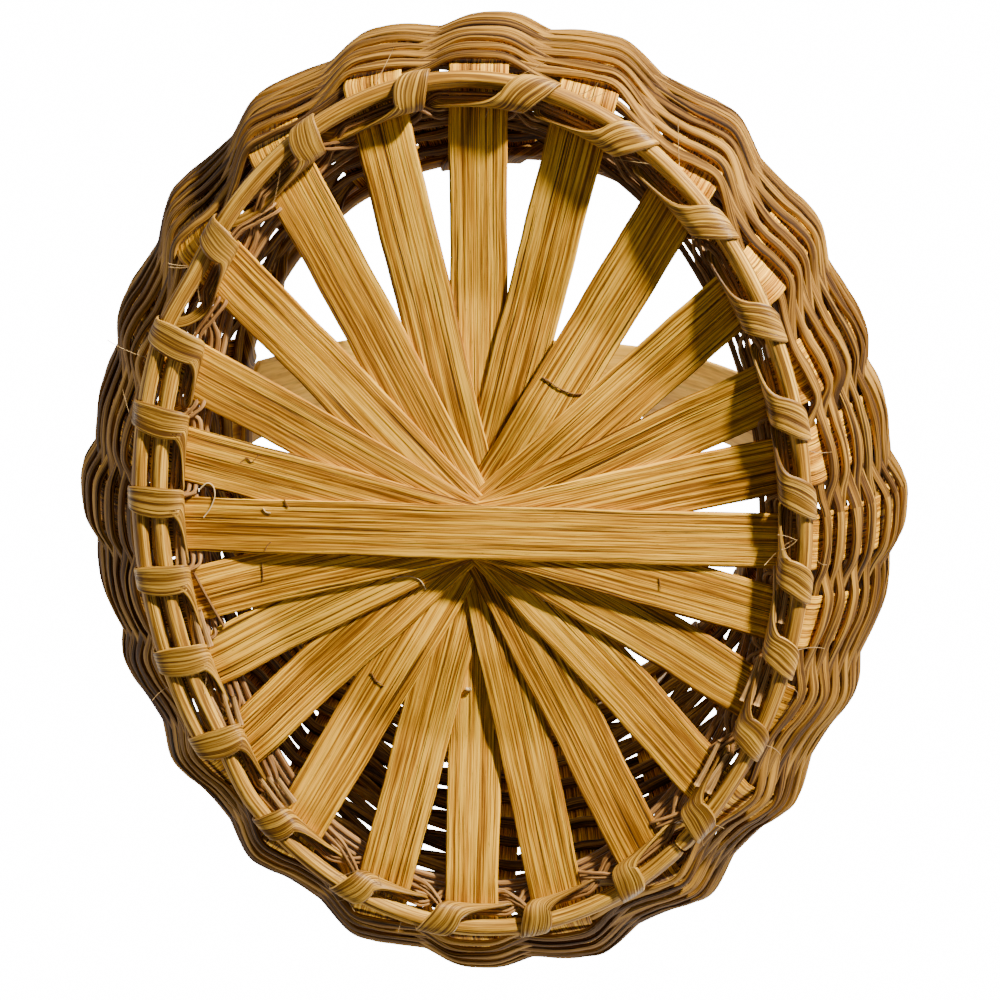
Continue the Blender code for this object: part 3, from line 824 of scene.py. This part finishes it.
def tinted(palette, amount, phase):
    """A palette made a little lighter or darker."""
    tint = 1.0 + amount * math.sin(phase)
    return tuple(tuple(part * tint for part in colour) for colour in palette)


# Flat spokes

def spoke_piece(index):
    """One strip of split reed, from the rim over the floor to the rim, with ridges along it."""
    rng = np.random.default_rng(SPOKE_SEED + index)
    near, far = STAKES[index], STAKES[index + HALF_COUNT]
    across = np.linspace(-1.0, 1.0, SPOKE_COLUMNS)
    # Two patterns of ridges for each face, which run into each other along the spoke
    patterns = rng.uniform(-1.0, 1.0, (2, 2, SPOKE_COLUMNS))
    places = []
    for stake, way in ((far, -1), (near, 1)):
        lengths = [*np.arange(stake.lengths[0] + SPOKE_STEP, stake.top, SPOKE_STEP), stake.top]
        places += [(stake, length, way) for length in lengths[::way]]
    run = np.arange(len(places)) * SPOKE_STEP
    left, right = [wander(rng, run, wave, SPOKE_EDGE_WANDER) for wave in SPOKE_EDGE_WAVES]
    mixing = [0.5 + 0.5 * wander(rng, run, SPOKE_RIDGE_WAVE, 1.0) for _ in range(2)]
    edge = rounded_edge(across, SPOKE_EDGE_ROUND)
    thickness = SPOKE_THICKNESS / 2 * blend(SPOKE_EDGE_THICK, 1.0, edge)
    rings = []
    for step, (stake, length, way) in enumerate(places):
        centre = stake.point(length)
        facing = stake.facing(length)
        width = (SPOKE_WIDTH / 2) * across
        width = width + np.where(across > 0, right[step] * across, left[step] * -across)
        faces = []
        for side, (first, second), mixed in zip((1.0, -1.0), patterns, mixing):
            ridge = blend(first, second, mixed[step])
            rise = side * (thickness + RIDGE_HEIGHT * ridge * edge)
            faces.append(centre + stake.side * (way * width)[:, None] + facing * rise[:, None])
        rings.append(np.concatenate([faces[0], faces[1][::-1]]))
    body = Body()
    body.tube(rings)
    node = f"spoke_{index + 1:02d}"
    # Painted ridge shade: part of the streaky colour of the spokes stands for the shade of their fine ridges,
    # the rest is their grain
    palette = tinted(SPOKE_GRAIN_AND_RIDGE_SHADE_PALETTE, SPOKE_TINT, SPOKE_TINT_STEP * index)
    material = wood(f"split_reed_{index + 1:02d}", palette, seed=3.1 * index + 1.0, streak=1250.0, rough=0.66,
                    dark=0.95, bump=0.80, speck=0.45, gloss=0.2)
    body.piece(f"{node}_flat_reed", material, [node])


# Foot ring

def foot_reed_piece(node, start, finish, offset_at, seed):
    """A round reed of the foot ring, with long flats on it and rounded ends."""
    rng = np.random.default_rng(seed)
    places = np.arange(start, finish, REED_STEP_DEGREES)
    places = np.append(places, finish)
    corner = np.arange(REED_SIDES) * FULL_TURN / REED_SIDES
    flats = [wander(rng, places, REED_FLAT_DEGREES, REED_FLAT_DEPTH) for _ in range(REED_FLATS)]
    rings = []
    for step, degrees in enumerate(places):
        turn = math.radians(degrees)
        lobes = 1.0 + sum(flat[step] * np.cos((number + REED_FEWEST_LOBES) * corner + number)
                          for number, flat in enumerate(flats))
        from_end = min(degrees - start, finish - degrees) * math.radians(1.0) * FOOT_HALF_Y
        radius = (REED_RADIUS - REED_TRIM) * blend(REED_END_SIZE, 1.0, smooth_step(from_end / REED_END_ROUND))
        ring = []
        for angle, lobe in zip(corner, lobes):
            size = radius * min(lobe, REED_LOBE_LIMIT)
            offset = offset_at(degrees) + size * math.cos(angle)
            ring.append(foot_point(turn, offset, REED_Z + size * math.sin(angle)))
        rings.append(ring)
    body = Body()
    body.tube(rings)
    material = wood(f"{node}_wood", REED_PALETTE, seed=seed * 1.3, streak=1000.0, rough=0.58, dark=0.55,
                    bump=0.50, gloss=0.25)
    body.piece(f"{node}_round", material, [node])


# Reed wound round a bundle

def squared(angle, power):
    """Cosine and sine of an angle, pushed out from a circle towards a square of the same width."""
    c, s = math.cos(angle), math.sin(angle)
    size = (abs(c) ** power + abs(s) ** power) ** (-1.0 / power)
    return c * size, s * size


def wound_strip(body, frame_at, outline_at, controls, steps, closed, thickness, columns, ribs, rib_depth,
                squareness):
    """A flat reed wound round a bundle, as if laid on its unrolled surface.

    controls holds a place along the bundle, an angle round it and a width for each control point.
    frame_at gives the bundle's centre, outward and upward directions at a place, and outline_at
    the middle offset and the two half sizes of the bundle there.
    """
    line = curve_through(controls, steps, False)
    if closed:
        lead = WRAP_LEAD * steps
        line = line[lead:-lead - 1]
    across = np.linspace(-1.0, 1.0, columns)
    edge = rounded_edge(across, WRAP_EDGE_ROUND)
    rib = rib_depth * (np.abs(np.cos(across * math.pi * ribs / 2)) - 1.0) * edge
    pace = np.gradient(line, axis=0)
    rings = []
    for (place, angle, width), (d_place, d_angle, _) in zip(line, pace):
        _, half_out, half_up = outline_at(place)
        speed = math.hypot(half_out * math.sin(angle), half_up * math.cos(angle))
        d_round = d_angle * speed
        length = math.hypot(d_place, d_round)
        slope_place, slope_round = d_place / length, d_round / length
        shifts = across * width / 2
        places = place - shifts * slope_round
        angles = angle + shifts * slope_place / speed
        inner = []
        outer = []
        for p, a, lift, thin in zip(places, angles, rib, edge):
            centre, out, up = frame_at(p)
            middle, half_out, half_up = outline_at(p)
            grow = thickness * blend(WRAP_EDGE_THICK, 1.0, thin) + lift
            c, s = squared(a, squareness)
            inner.append(centre + out * (middle + half_out * c) + up * half_up * s)
            outer.append(centre + out * (middle + (half_out + grow) * c) + up * (half_up + grow) * s)
        rings.append(np.array(outer + inner[::-1]))
    body.tube(rings, closed)


class FootBundle:
    """The reeds of the foot ring as one bundle, by length along its oval."""

    def __init__(self):
        self.turns = np.linspace(-FULL_TURN, 2 * FULL_TURN, len(LAPS) * RING_STATIONS + 1)
        line = np.stack([FOOT_HALF_X * np.cos(self.turns), FOOT_HALF_Y * np.sin(self.turns)], 1)
        self.lengths = arc_lengths(line)
        self.round = self.lengths[-1] / len(LAPS)

    def turn(self, place):
        return np.interp(place + self.round, self.lengths, self.turns)

    def place(self, turn):
        return np.interp(turn, self.turns, self.lengths) - self.round

    def frame(self, place):
        turn = self.turn(place)
        return foot_point(turn, 0.0, REED_Z), foot_normal(turn), UP

    def outline(self, place):
        inner, outer = reed_reach(self.turn(place))
        inner -= WRAP_INNER_EXTRA
        half = REED_RADIUS + WRAP_ROOM
        return (inner + outer) / 2, (outer - inner) / 2 + half, half


def foot_wrap_piece():
    """The reed that winds round the foot ring, once for each stake."""
    bundle = FootBundle()
    crossings = [bundle.place(foot_turn(stake) % FULL_TURN) for stake in STAKES]
    edge = SPOKE_WIDTH / 2 + WRAP_SPOKE_ROOM
    controls = []
    for lap in LAPS:
        for index, (shift, slant) in enumerate(WRAPS):
            here = crossings[index] + lap * bundle.round
            after = crossings[(index + 1) % STAKE_COUNT] + (lap + (index == STAKE_COUNT - 1)) * bundle.round
            angle = FULL_TURN * (index + lap * STAKE_COUNT)
            shift, slant = shift / MM_PER_METRE, slant / MM_PER_METRE
            top = min(max(here + shift + slant, here + edge), after - edge)
            tip = min(here + shift + slant, after - edge + WRAP_TIP_OVERSHOOT)
            controls += [
                (here + shift - slant, angle + math.pi, WRAP_WIDTHS[0]),
                (here + shift, angle + 1.5 * math.pi, WRAP_WIDTHS[1]),
                (tip, angle + 2.0 * math.pi, WRAP_WIDTHS[2]),
                (top, angle + 2.5 * math.pi, WRAP_WIDTHS[3]),
                (after - edge + WRAP_DOWN_STEP, angle + WRAP_DOWN_ANGLE, WRAP_DOWN_WIDTH),
            ]
    lap_controls = len(controls) // len(LAPS)
    first = lap_controls - WRAP_LEAD
    controls = controls[first:first + lap_controls + 2 * WRAP_LEAD + 1]
    body = Body()
    wound_strip(body, bundle.frame, bundle.outline, controls, WRAP_STEPS, True,
                WRAP_THICKNESS - WRAP_TRIM, WRAP_COLUMNS, WRAP_RIBS, WRAP_RIB_DEPTH, WRAP_SQUARENESS)
    material = wood("foot_lashing_reed", LASHING_PALETTE, seed=71.0, streak=2000.0, rough=0.46, dark=0.45,
                    bump=0.45, speck=0.25, mottle=0.08)
    body.piece("foot_lashing_wrap", material, ["foot_lashing"])


# Thin twined reeds inside the foot ring

def lap_inset(turn):
    """How far inwards the lap of the foot reeds pushes what lies inside the ring."""
    return -reed_reach(turn)[0]


def cut_ends(body, rng, index, way, count):
    """Short cut reed ends that stick out of a wrap, along the inside of the ring."""
    turn = foot_turn(STAKES[index])
    pace = ring_pace(turn)
    ahead = WRAPS[index][0] / MM_PER_METRE + CUT_END_AHEAD if way > 0 else CUT_END_BACK
    base = turn + ahead / pace
    for number in range(count):
        length = rng.uniform(*CUT_END_LENGTHS) + (CUT_END_HIDDEN if way < 0 else 0.0)
        side = CUT_END_INSET + lap_inset(turn) + number * CUT_END_PITCH
        splay = rng.uniform(*CUT_END_SPLAYS)
        width = rng.uniform(*CUT_END_WIDTHS)
        height = FLOOR_Z - CUT_END_DEPTH - CUT_END_STAGGER * (number % 2)
        points = []
        for share in CUT_END_SHARES:
            place = foot_point(base + way * share * length / pace, -(side + splay * share), height)
            points.append([*(place + UP * CUT_END_RISE * share), 1.0 - CUT_END_TAPER * share])
        section = oval_section(width, CUT_END_THICKNESS, CUT_END_SIDES, CUT_END_SQUARENESS)
        thin_reed(body, curve_through(points, CUT_END_STEPS, False), section)


def cut_end_piece():
    """All the cut reed ends as one piece."""
    body = Body()
    rng = np.random.default_rng(CUT_END_SEED)
    for stake, way, count in CUT_ENDS:
        cut_ends(body, rng, stake, way, count)
    material = wood("cut_reed", CUT_PALETTE, seed=91.0, streak=1900.0, rough=0.7, dark=0.4, bump=0.4)
    body.piece("base_weaver_cut_ends", material)


def spoke_level(stake, inset):
    """Height of the middle of a spoke, at a distance inside the ring."""
    return stake.point(-inset)[2]


def lining_line(rng, inset):
    """A thin reed that runs round inside the ring, over the backs of the spokes."""
    above = SPOKE_THICKNESS / 2 + LINING_GAP + 2 * TWINE_RADIUS + LINING_RADIUS
    points = []
    for stake in STAKES:
        turn = foot_turn(stake) % FULL_TURN
        side = inset + lap_inset(turn) + rng.uniform(-LINING_WAVE, LINING_WAVE)
        points.append(foot_point(turn, -side, spoke_level(stake, side) + above))
    return curve_through(points, LINING_STEPS, True)


def twine_strand(rng, index, strand):
    """One strand of a twined pair: inside the wraps in front of a spoke, then over the back of the next."""
    front, behind = TWINES[index]
    drop = SPOKE_THICKNESS / 2 + TWINE_SLACK + TWINE_RADIUS * TWINE_FRONT_SIZE
    rise = SPOKE_THICKNESS / 2 + TWINE_GAP + TWINE_RADIUS
    left = TWINE_HOLD * STAKE_EDGE
    points = []
    for number, stake in enumerate(STAKES):
        turn = foot_turn(stake) % FULL_TURN
        after = foot_turn(STAKES[(number + 1) % STAKE_COUNT]) % FULL_TURN
        pace = ring_pace(turn)
        in_front = (number + strand + index) % 2 == 0
        stray = rng.uniform(-TWINE_WANDER, TWINE_WANDER)
        crossed = (after - turn) % FULL_TURN * pace - TWINE_CROSSED
        level = spoke_level(stake, behind)
        if in_front:
            stations = (
                (-left, front, -drop, TWINE_FRONT_SIZE),
                (left, front, -drop, TWINE_FRONT_SIZE),
                ((left + crossed) / 2, (front + behind) / 2, -TWINE_DIP, TWINE_FRONT_SIZE),
                (crossed, behind, -TWINE_DIP / 2, TWINE_FRONT_SIZE),
            )
        else:
            stations = (
                (-left, behind, rise, 1.0),
                (left, behind, rise, 1.0),
                ((left + crossed) / 2, (front + behind) / 2, TWINE_LIFT, TWINE_FRONT_SIZE),
                (crossed, front, -drop, TWINE_FRONT_SIZE),
            )
        for along, inset, height, size in stations:
            there = turn + along / pace
            side = inset + stray + lap_inset(there)
            points.append([*foot_point(there, -side, level + height), size])
    return curve_through(points, TWINE_STEPS, True)


def twine_piece(index):
    """Two thin reeds that twist round each other between the spokes, one on each side of a spoke."""
    body = Body()
    rng = np.random.default_rng(TWINE_SEED + index)
    for strand in (0, 1):
        thin_reed(body, twine_strand(rng, index, strand), round_section(TWINE_RADIUS, TWINE_SIDES), True)
    for inset in LINING_INSETS[index]:
        thin_reed(body, lining_line(rng, inset), round_section(LINING_RADIUS, TWINE_SIDES), True)
    material = wood(f"twine_{index + 1}", TWINE_PALETTE, seed=81.0 + index, streak=1900.0, rough=0.6,
                    dark=0.4, bump=0.4)
    node = f"base_weaver_{index + 1}"
    body.piece(f"{node}_twined_pair", material, [node])


# Rows of the wall

def row_length(stake, share):
    """Length on a stake at a share of the woven height."""
    finish = stake.top - RIM_BELOW_TOP - RIM_REED_HEIGHT / 2 - RIM_GAP_BELOW
    first_band = 1.0 / BAND_COUNT
    if share < first_band:
        return blend(FIRST_ROW_START, blend(WALL_START, finish, first_band), share / first_band)
    return blend(WALL_START, finish, share)


def wall_row(body, rng, share, parity, size):
    """One reed round the wall, outside every other stake."""
    points = []
    facing = []
    slope = rng.uniform(0.0, FULL_TURN)
    for index, stake in enumerate(STAKES):
        outside = (index + parity) % 2 == 0
        length = row_length(stake, share) + ROW_TILT * math.sin(index * FULL_TURN / STAKE_COUNT + slope)
        room = SPOKE_THICKNESS / 2 + ROW_GAP + ROW_THICKNESS * size / 2
        if not outside and stake.holds_handle and stake.point(length)[2] > HANDLE_LOW_Z - HANDLE_THICKNESS:
            room += HANDLE_THICKNESS + WEAVE_CLEARANCE
        sign = 1.0 if outside else -1.0
        drift = rng.uniform(-ROW_WANDER, ROW_WANDER)
        after = STAKES[(index + 1) % STAKE_COUNT]
        for sideways, lift in ((-ROW_HOLD, 0.0), (0.0, ROW_BULGE), (ROW_HOLD, 0.0)):
            place = length + (drift if sideways == 0.0 else drift * ROW_EDGE_WANDER)
            points.append(stake.point(place, sign * (room + lift), sideways))
            facing.append(stake.facing(length))
        here = stake.point(length, 0.0, STAKE_EDGE)
        there = after.point(row_length(after, share), 0.0, -STAKE_EDGE)
        outwards = unit(stake.facing(length) + after.facing(row_length(after, share)))
        points.append((here + there) / 2 - outwards * ROW_SAG)
        facing.append(outwards)
    line = curve_through(points, ROW_STEPS, True)
    facing = curve_through(facing, ROW_STEPS, True)
    facets = 1.0 + ROW_RIDGES * rng.uniform(-1.0, 1.0, ROW_SIDES)
    turn = np.arange(len(line)) * FULL_TURN / len(line)
    swell, twist = [sum(np.sin(turn * waves + rng.uniform(0.0, FULL_TURN)) for waves in ROW_WAVES)
                    / len(ROW_WAVES) for _ in range(2)]
    facets = facets * (1.0 + ROW_SWELL * swell[:, None])
    section = oval_section(ROW_WIDTH * size, ROW_THICKNESS * size, ROW_SIDES, ROW_SQUARENESS)
    rings = rings_along(line, facing, section, True, facets, ROW_TWIST * twist)
    body.tube(rings, True, rng.uniform(0.0, ROW_GRAIN_START))


def row_shares():
    """For each band, the shares of the woven height where its rows lie."""
    first = 1.0 / BAND_COUNT
    bands = [[] for _ in range(BAND_COUNT)]
    for row in range(FIRST_BAND_ROWS):
        bands[0].append(first * (row + 0.5) / FIRST_BAND_ROWS)
    for row in range(UPPER_ROWS):
        share = first + (1.0 - first) * (row + 0.5) / UPPER_ROWS
        bands[int(share * BAND_COUNT)].append(share)
    return bands


def wall_pieces():
    """The rows of each band as one piece, in plain weave all the way up."""
    number = 0
    for band, shares in enumerate(row_shares()):
        rng = np.random.default_rng(WALL_SEED + band)
        body = Body()
        for share in shares:
            size = rng.uniform(*ROW_SIZES) * (FIRST_ROW_SIZE if band == 0 else 1.0)
            wall_row(body, rng, share, number, size)
            number += 1
        node = f"wall_weave_{band + 1:02d}"
        palette = tinted(WEAVER_PALETTE, WEAVER_TINT, WEAVER_TINT_STEP * band + WEAVER_TINT_START)
        material = wood(f"weaver_{band + 1:02d}", palette, seed=110.0 + 5.3 * band, streak=950.0, rough=0.68,
                        dark=0.90, bump=0.80, gloss=0.12, mottle=0.45)
        body.piece(f"{node}_rows", material, [node])


# Rim

def rim_path(outside):
    """Control points of a rim reed, and the directions it faces."""
    points = []
    facing = []
    for index, stake in enumerate(STAKES):
        room = SPOKE_THICKNESS / 2 + WEAVE_CLEARANCE + RIM_REED_THICKNESS / 2
        if not outside and stake.holds_handle:
            room += HANDLE_THICKNESS + WEAVE_CLEARANCE
        length = stake.top - RIM_BELOW_TOP
        for sideways in (-STAKE_EDGE, STAKE_EDGE):
            points.append(stake.point(length, room if outside else -room, sideways))
            facing.append(stake.facing(length))
    return np.array(points), np.array(facing)


def rim_reed_piece(outside):
    """A half round reed along the rim, on one side of the stakes."""
    points, facing = rim_path(outside)
    line = curve_through(points, RIM_STEPS, True)
    facing = curve_through(facing, RIM_STEPS, True)
    section = oval_section(RIM_REED_HEIGHT, RIM_REED_THICKNESS - RIM_REED_TRIM, RIM_REED_SIDES,
                           RIM_REED_SQUARENESS)
    body = Body()
    body.tube(rings_along(line, facing, section, True), True)
    node = "rim_reed_outer" if outside else "rim_reed_inner"
    material = wood(f"{node}_wood", REED_PALETTE, seed=190.0 + outside, streak=600.0, rough=0.55,
                    dark=0.5, bump=0.5)
    body.piece(f"{node}_half_round", material, [node])


class RimBundle:
    """Both rim reeds and the stake tops between them, by length along the rim."""

    def __init__(self):
        outer, facing = rim_path(True)
        inner, _ = rim_path(False)
        self.middle = curve_through((outer + inner) / 2, RIM_STEPS, True)
        self.half = np.linalg.norm(curve_through(outer - inner, RIM_STEPS, True), axis=1) / 2
        self.half += RIM_REED_THICKNESS / 2 + RIM_WRAP_ROOM
        self.facing = unit_rows(curve_through(facing, RIM_STEPS, True))
        self.tangents = directions(self.middle, True)
        self.lengths = arc_lengths(np.concatenate([self.middle, self.middle[:1]]))
        self.round = self.lengths[-1]

    def place(self, index):
        """Length along the rim at the middle of a stake."""
        return self.lengths[index * 2 * RIM_STEPS + RIM_STEPS // 2]

    def pick(self, values, place):
        values = np.concatenate([values, values[:1]])
        place = place % self.round
        if values.ndim == 1:
            return np.interp(place, self.lengths, values)
        return np.array([np.interp(place, self.lengths, values[:, i]) for i in range(3)])

    def frame(self, place):
        along = unit(self.pick(self.tangents, place))
        out = self.pick(self.facing, place)
        out = unit(out - along * (out @ along))
        up = np.cross(out, along)
        return self.pick(self.middle, place), out, up * (1.0 if up[2] > 0 else -1.0)

    def outline(self, place):
        return 0.0, self.pick(self.half, place), RIM_REED_HEIGHT / 2 + RIM_WRAP_ROOM


def rim_wrap_piece(number, bundle):
    """The reed wound round the rim from one handle arm to the other."""
    first = number * HALF_COUNT
    controls = []
    for turn in range(HALF_COUNT - 1):
        index = first + 1 + turn
        here = bundle.place(index)
        angle = FULL_TURN * turn
        gap = (bundle.place(index - 1) + here) / 2
        controls += [
            (gap, angle - math.pi / 2, RIM_WRAP_NARROW),
            (here - RIM_WRAP_SLANT, angle, RIM_WRAP_WIDTH),
            (here, angle + math.pi / 2, RIM_WRAP_WIDTH),
            (here + RIM_WRAP_SLANT, angle + math.pi, RIM_WRAP_WIDTH),
        ]
    last = (bundle.place(first + HALF_COUNT - 1) + bundle.place((first + HALF_COUNT) % STAKE_COUNT)
            + (bundle.round if number else 0.0)) / 2
    controls.append((last - RIM_WRAP_END, FULL_TURN * (HALF_COUNT - 1) - math.pi / 2, RIM_WRAP_NARROW))
    body = Body()
    wound_strip(body, bundle.frame, bundle.outline, controls, RIM_WRAP_STEPS, False, RIM_WRAP_THICKNESS,
                RIM_WRAP_COLUMNS, RIM_WRAP_RIBS, RIM_WRAP_RIB_DEPTH, RIM_WRAP_SQUARENESS)
    node = f"rim_lashing_{number + 1}"
    material = wood(f"{node}_reed", LASHING_PALETTE, seed=210.0 + number, streak=900.0, rough=0.42,
                    dark=0.35, bump=0.35, speck=0.25, gloss=0.5)
    body.piece(f"{node}_wrap", material, [node])


# Handle

def handle_side(stake):
    """Half of the hoop's line, from its low end inside the wall to the flat at the top."""
    wall = stake.lengths > 2 * WALL_START
    low = np.interp(HANDLE_LOW_Z, stake.line[wall, 1], stake.lengths[wall])
    inwards = SPOKE_THICKNESS / 2 + WEAVE_CLEARANCE + HANDLE_THICKNESS / 2
    points = []
    for length in np.linspace(low, stake.top, HANDLE_TUCK_STATIONS):
        middle, normal = stake.at(length)
        points.append(middle - normal * inwards)
    lift = unit(points[-1] - points[-2])
    first = points[-1]
    second = first + lift * HANDLE_RISE
    fourth = np.array([HANDLE_FLAT, HANDLE_TOP_Z])
    third = fourth + np.array([HANDLE_TOP_REACH, 0.0])
    for t in np.linspace(0.0, 1.0, HANDLE_HOOP_STATIONS)[1:]:
        s = 1.0 - t
        points.append(first * s ** 3 + second * 3 * s * s * t + third * 3 * s * t * t + fourth * t ** 3)
    return np.array(points)


def handle_piece():
    """The bent hoop, from one low end inside the wall over the top to the other."""
    near = STAKES[0]
    near_side = handle_side(near)
    far_side = handle_side(STAKES[HALF_COUNT]) * np.array([-1.0, 1.0])
    line = np.concatenate([far_side, near_side[::-1]])
    tangents = unit_rows(np.gradient(line, axis=0))
    across, through = oval_section(1.0, 1.0, HANDLE_SIDES, HANDLE_SQUARENESS)
    rings = []
    for place, along in zip(line, tangents):
        up = np.array([-along[1], along[0]])
        flare = smooth_step((place[1] - RIM_Z - CLEARANCE) / HANDLE_FLARE)
        wide = blend(HANDLE_TUCK_WIDTH, HANDLE_WIDTH, flare)
        shift = blend(HANDLE_SHIFT, HANDLE_LEFT_SHIFT, smooth_step(-place[0] / HANDLE_LEFT_REACH))
        spots = place + up * (through * HANDLE_THICKNESS)[:, None]
        beside = shift * flare + across * wide
        rings.append(near.out * spots[:, :1] + UP * spots[:, 1:] + near.side * beside[:, None] + HUB)
    body = Body()
    body.tube(rings)
    material = wood("handle_bentwood", HANDLE_PALETTE, seed=230.0, streak=330.0, rough=0.50, dark=0.30,
                    bump=0.30, speck=0.3)
    body.piece("handle_band", material, ["handle"])


# Loose fibres and hairs

def floor_underside(x, y):
    """Height of the lowest spoke over a place, or None between the spokes."""
    lowest = None
    near = np.array([x, y, 0.0]) - HUB
    for stake in STAKES:
        along, beside = near @ stake.out, near @ stake.side
        if 0.0 < along < stake.ring and abs(beside) < SPOKE_WIDTH / 2:
            half = len(stake.line) // 2
            height = np.interp(along, stake.line[:half, 0], stake.line[:half, 1])
            height -= SPOKE_THICKNESS / 2 + RIDGE_HEIGHT
            lowest = height if lowest is None else min(lowest, height)
    return lowest


def on_floor(pixel, height):
    """The place on the floor that a pixel of the photograph shows."""
    side = (pixel[0] - IMAGE_SIZE / 2) / CAMERA_FOCAL
    rise = (IMAGE_SIZE / 2 - pixel[1]) / CAMERA_FOCAL
    ray = CAMERA_RIGHT * side + CAMERA_UP * rise - CAMERA_BACK
    for _ in range(FIBRE_PASSES):
        place = EYE + ray * (height - EYE[2]) / ray[2]
        found = floor_underside(place[0], place[1])
        height = height if found is None else found
    return place, height


def fibre_pieces():
    """Fibres that lie on the underside of the floor, brown ones and pale ones."""
    for number, (shade, palette) in enumerate(FIBRE_SHADES):
        body = Body()
        for pixels, radius, kind in FLOOR_FIBRES:
            if kind != number:
                continue
            height = FLOOR_Z
            points = []
            for pixel in curve_through(pixels, FIBRE_STEPS, False):
                place, height = on_floor(pixel, height)
                points.append([place[0], place[1], height - radius])
            thin_reed(body, np.array(points), round_section(radius, FIBRE_SIDES))
        material = wood(f"{shade}_fibre", palette, seed=250.0 + number, streak=2500.0, rough=0.6,
                        dark=0.2, bump=0.2)
        body.piece(f"{shade}_fibres", material)


def hair_piece():
    """Thin hairs that stand off the reed round the foot ring."""
    rng = np.random.default_rng(HAIR_SEED)
    body = Body()
    for _ in range(HAIR_COUNT):
        turn = rng.uniform(0.0, FULL_TURN)
        inner, outer = reed_reach(turn)
        side = rng.uniform(*HAIR_SIDES) * rng.choice((-1.0, 1.0))
        half = REED_RADIUS + WRAP_ROOM
        offset = (inner if side < 0 else outer) + half * side
        start = foot_point(turn, offset, REED_Z - half * math.sqrt(1.0 - side * side) * HAIR_DEPTH)
        along = np.array([-math.sin(turn), math.cos(turn), 0.0])
        way = unit(foot_normal(turn) * side * rng.uniform(*HAIR_LEANS) + along * rng.uniform(-1.0, 1.0))
        bend = unit(rng.normal(size=3)) * rng.uniform(*HAIR_BENDS)
        length = rng.uniform(*HAIR_LENGTHS)
        points = []
        for t in np.linspace(0.0, 1.0, HAIR_POINTS):
            place = start + (way * t + bend * t * t) * length
            points.append([place[0], place[1], min(max(place[2], HAIR_LOWEST), FLOOR_Z - HAIR_BELOW_FLOOR)])
        thin_reed(body, np.array(points), round_section(HAIR_RADIUS, HAIR_CORNERS))
    material = wood("hair", HAIR_PALETTE, seed=260.0, streak=2500.0, rough=0.5, dark=0.2, bump=0.2)
    body.piece("foot_lashing_hairs", material)


# Floor, lights and camera

def floor():
    """A pale floor that the camera sees from above only, since the basket is seen from below."""
    mesh = bpy.data.meshes.new("floor")
    corners = [(x * FLOOR_HALF, y * FLOOR_HALF, 0.0) for x, y in ((-1, -1), (1, -1), (1, 1), (-1, 1))]
    mesh.from_pydata(corners, [], [(0, 1, 2, 3)])
    material, nodes, shader = new_material("floor")
    nodes.feed(shader, "Base Color", FLOOR_COLOUR)
    nodes.feed(shader, "Roughness", FLOOR_ROUGHNESS)
    seen = nodes.add("LightPath", "Is Camera Ray")
    behind = nodes.add("NewGeometry", "Backfacing")
    solid = nodes.add("Math", "Value", {0: seen, 1: behind}, operation="SUBTRACT", use_clamp=True)
    clear = nodes.add("BsdfTransparent", "BSDF")
    mixed = nodes.add("MixShader", "Shader", {"Fac": solid, 1: clear, 2: shader.outputs["BSDF"]})
    nodes.feed(nodes.tree.nodes["Material Output"], "Surface", mixed)
    mesh.materials.append(material)
    add_object("floor", mesh)


def area_light(name, direction, distance, size, power, colour):
    """A round light at a distance in one direction from a point low in the basket."""
    light = bpy.data.lights.new(name, "AREA")
    light.shape = "DISK"
    light.size = size
    light.energy = power
    light.color = colour
    way = unit(np.array(direction, float))
    side = unit(np.cross(LIGHT_TILT, way))
    stand(add_object(name, light), side, np.cross(way, side), way, LIGHT_TARGET + way * distance)


def world():
    """White behind the basket, and a soft light on it, most of it from above."""
    scene_world = bpy.data.worlds.new("studio")
    bpy.context.scene.world = scene_world
    scene_world.use_nodes = True
    nodes = Nodes(scene_world.node_tree)
    soft = nodes.tree.nodes["Background"]
    height = nodes.add("SeparateXYZ", "Z", {"Vector": nodes.add("TexCoord", "Generated")})
    span = {"From Min": 0.0, "From Max": SOFT_FULL, "To Min": SOFT_BELOW, "To Max": SOFT_ABOVE}
    nodes.feed(soft, "Color", SOFT_COLOUR)
    nodes.feed(soft, "Strength", nodes.add("MapRange", "Result", {"Value": height, **span}))
    white = nodes.add("Background", "Background", {"Color": WHITE, "Strength": WHITE_BEHIND})
    seen = nodes.add("LightPath", "Is Camera Ray")
    mixed = nodes.add("MixShader", "Shader", {"Fac": seen, 1: soft.outputs["Background"], 2: white})
    nodes.feed(nodes.tree.nodes["World Output"], "Surface", mixed)


def camera():
    """The camera of the photograph."""
    data = bpy.data.cameras.new("camera")
    data.sensor_width = SENSOR_WIDTH
    data.lens = CAMERA_FOCAL * SENSOR_WIDTH / IMAGE_SIZE
    data.clip_start = NEAREST_SEEN
    data.clip_end = FARTHEST_SEEN
    made = add_object("camera", data)
    stand(made, CAMERA_RIGHT, CAMERA_UP, CAMERA_BACK, EYE)
    bpy.context.scene.camera = made


camera()
world()
floor()
for light_values in LIGHTS:
    area_light(*light_values)

for spoke in range(HALF_COUNT):
    spoke_piece(spoke)
foot_reed_piece("foot_reed_long", LAP_START - 360.0, BUTT_ANGLE - BUTT_GAP / 2, long_reed_offset, seed=41)
foot_reed_piece("foot_reed_short", BUTT_ANGLE + BUTT_GAP / 2, LAP_END, short_reed_offset, seed=43)
foot_wrap_piece()
cut_end_piece()
for pair in range(len(TWINES)):
    twine_piece(pair)
wall_pieces()
rim_reed_piece(True)
rim_reed_piece(False)
rim_bundle = RimBundle()
for run in range(2):
    rim_wrap_piece(run, rim_bundle)
handle_piece()
fibre_pieces()
hair_piece()
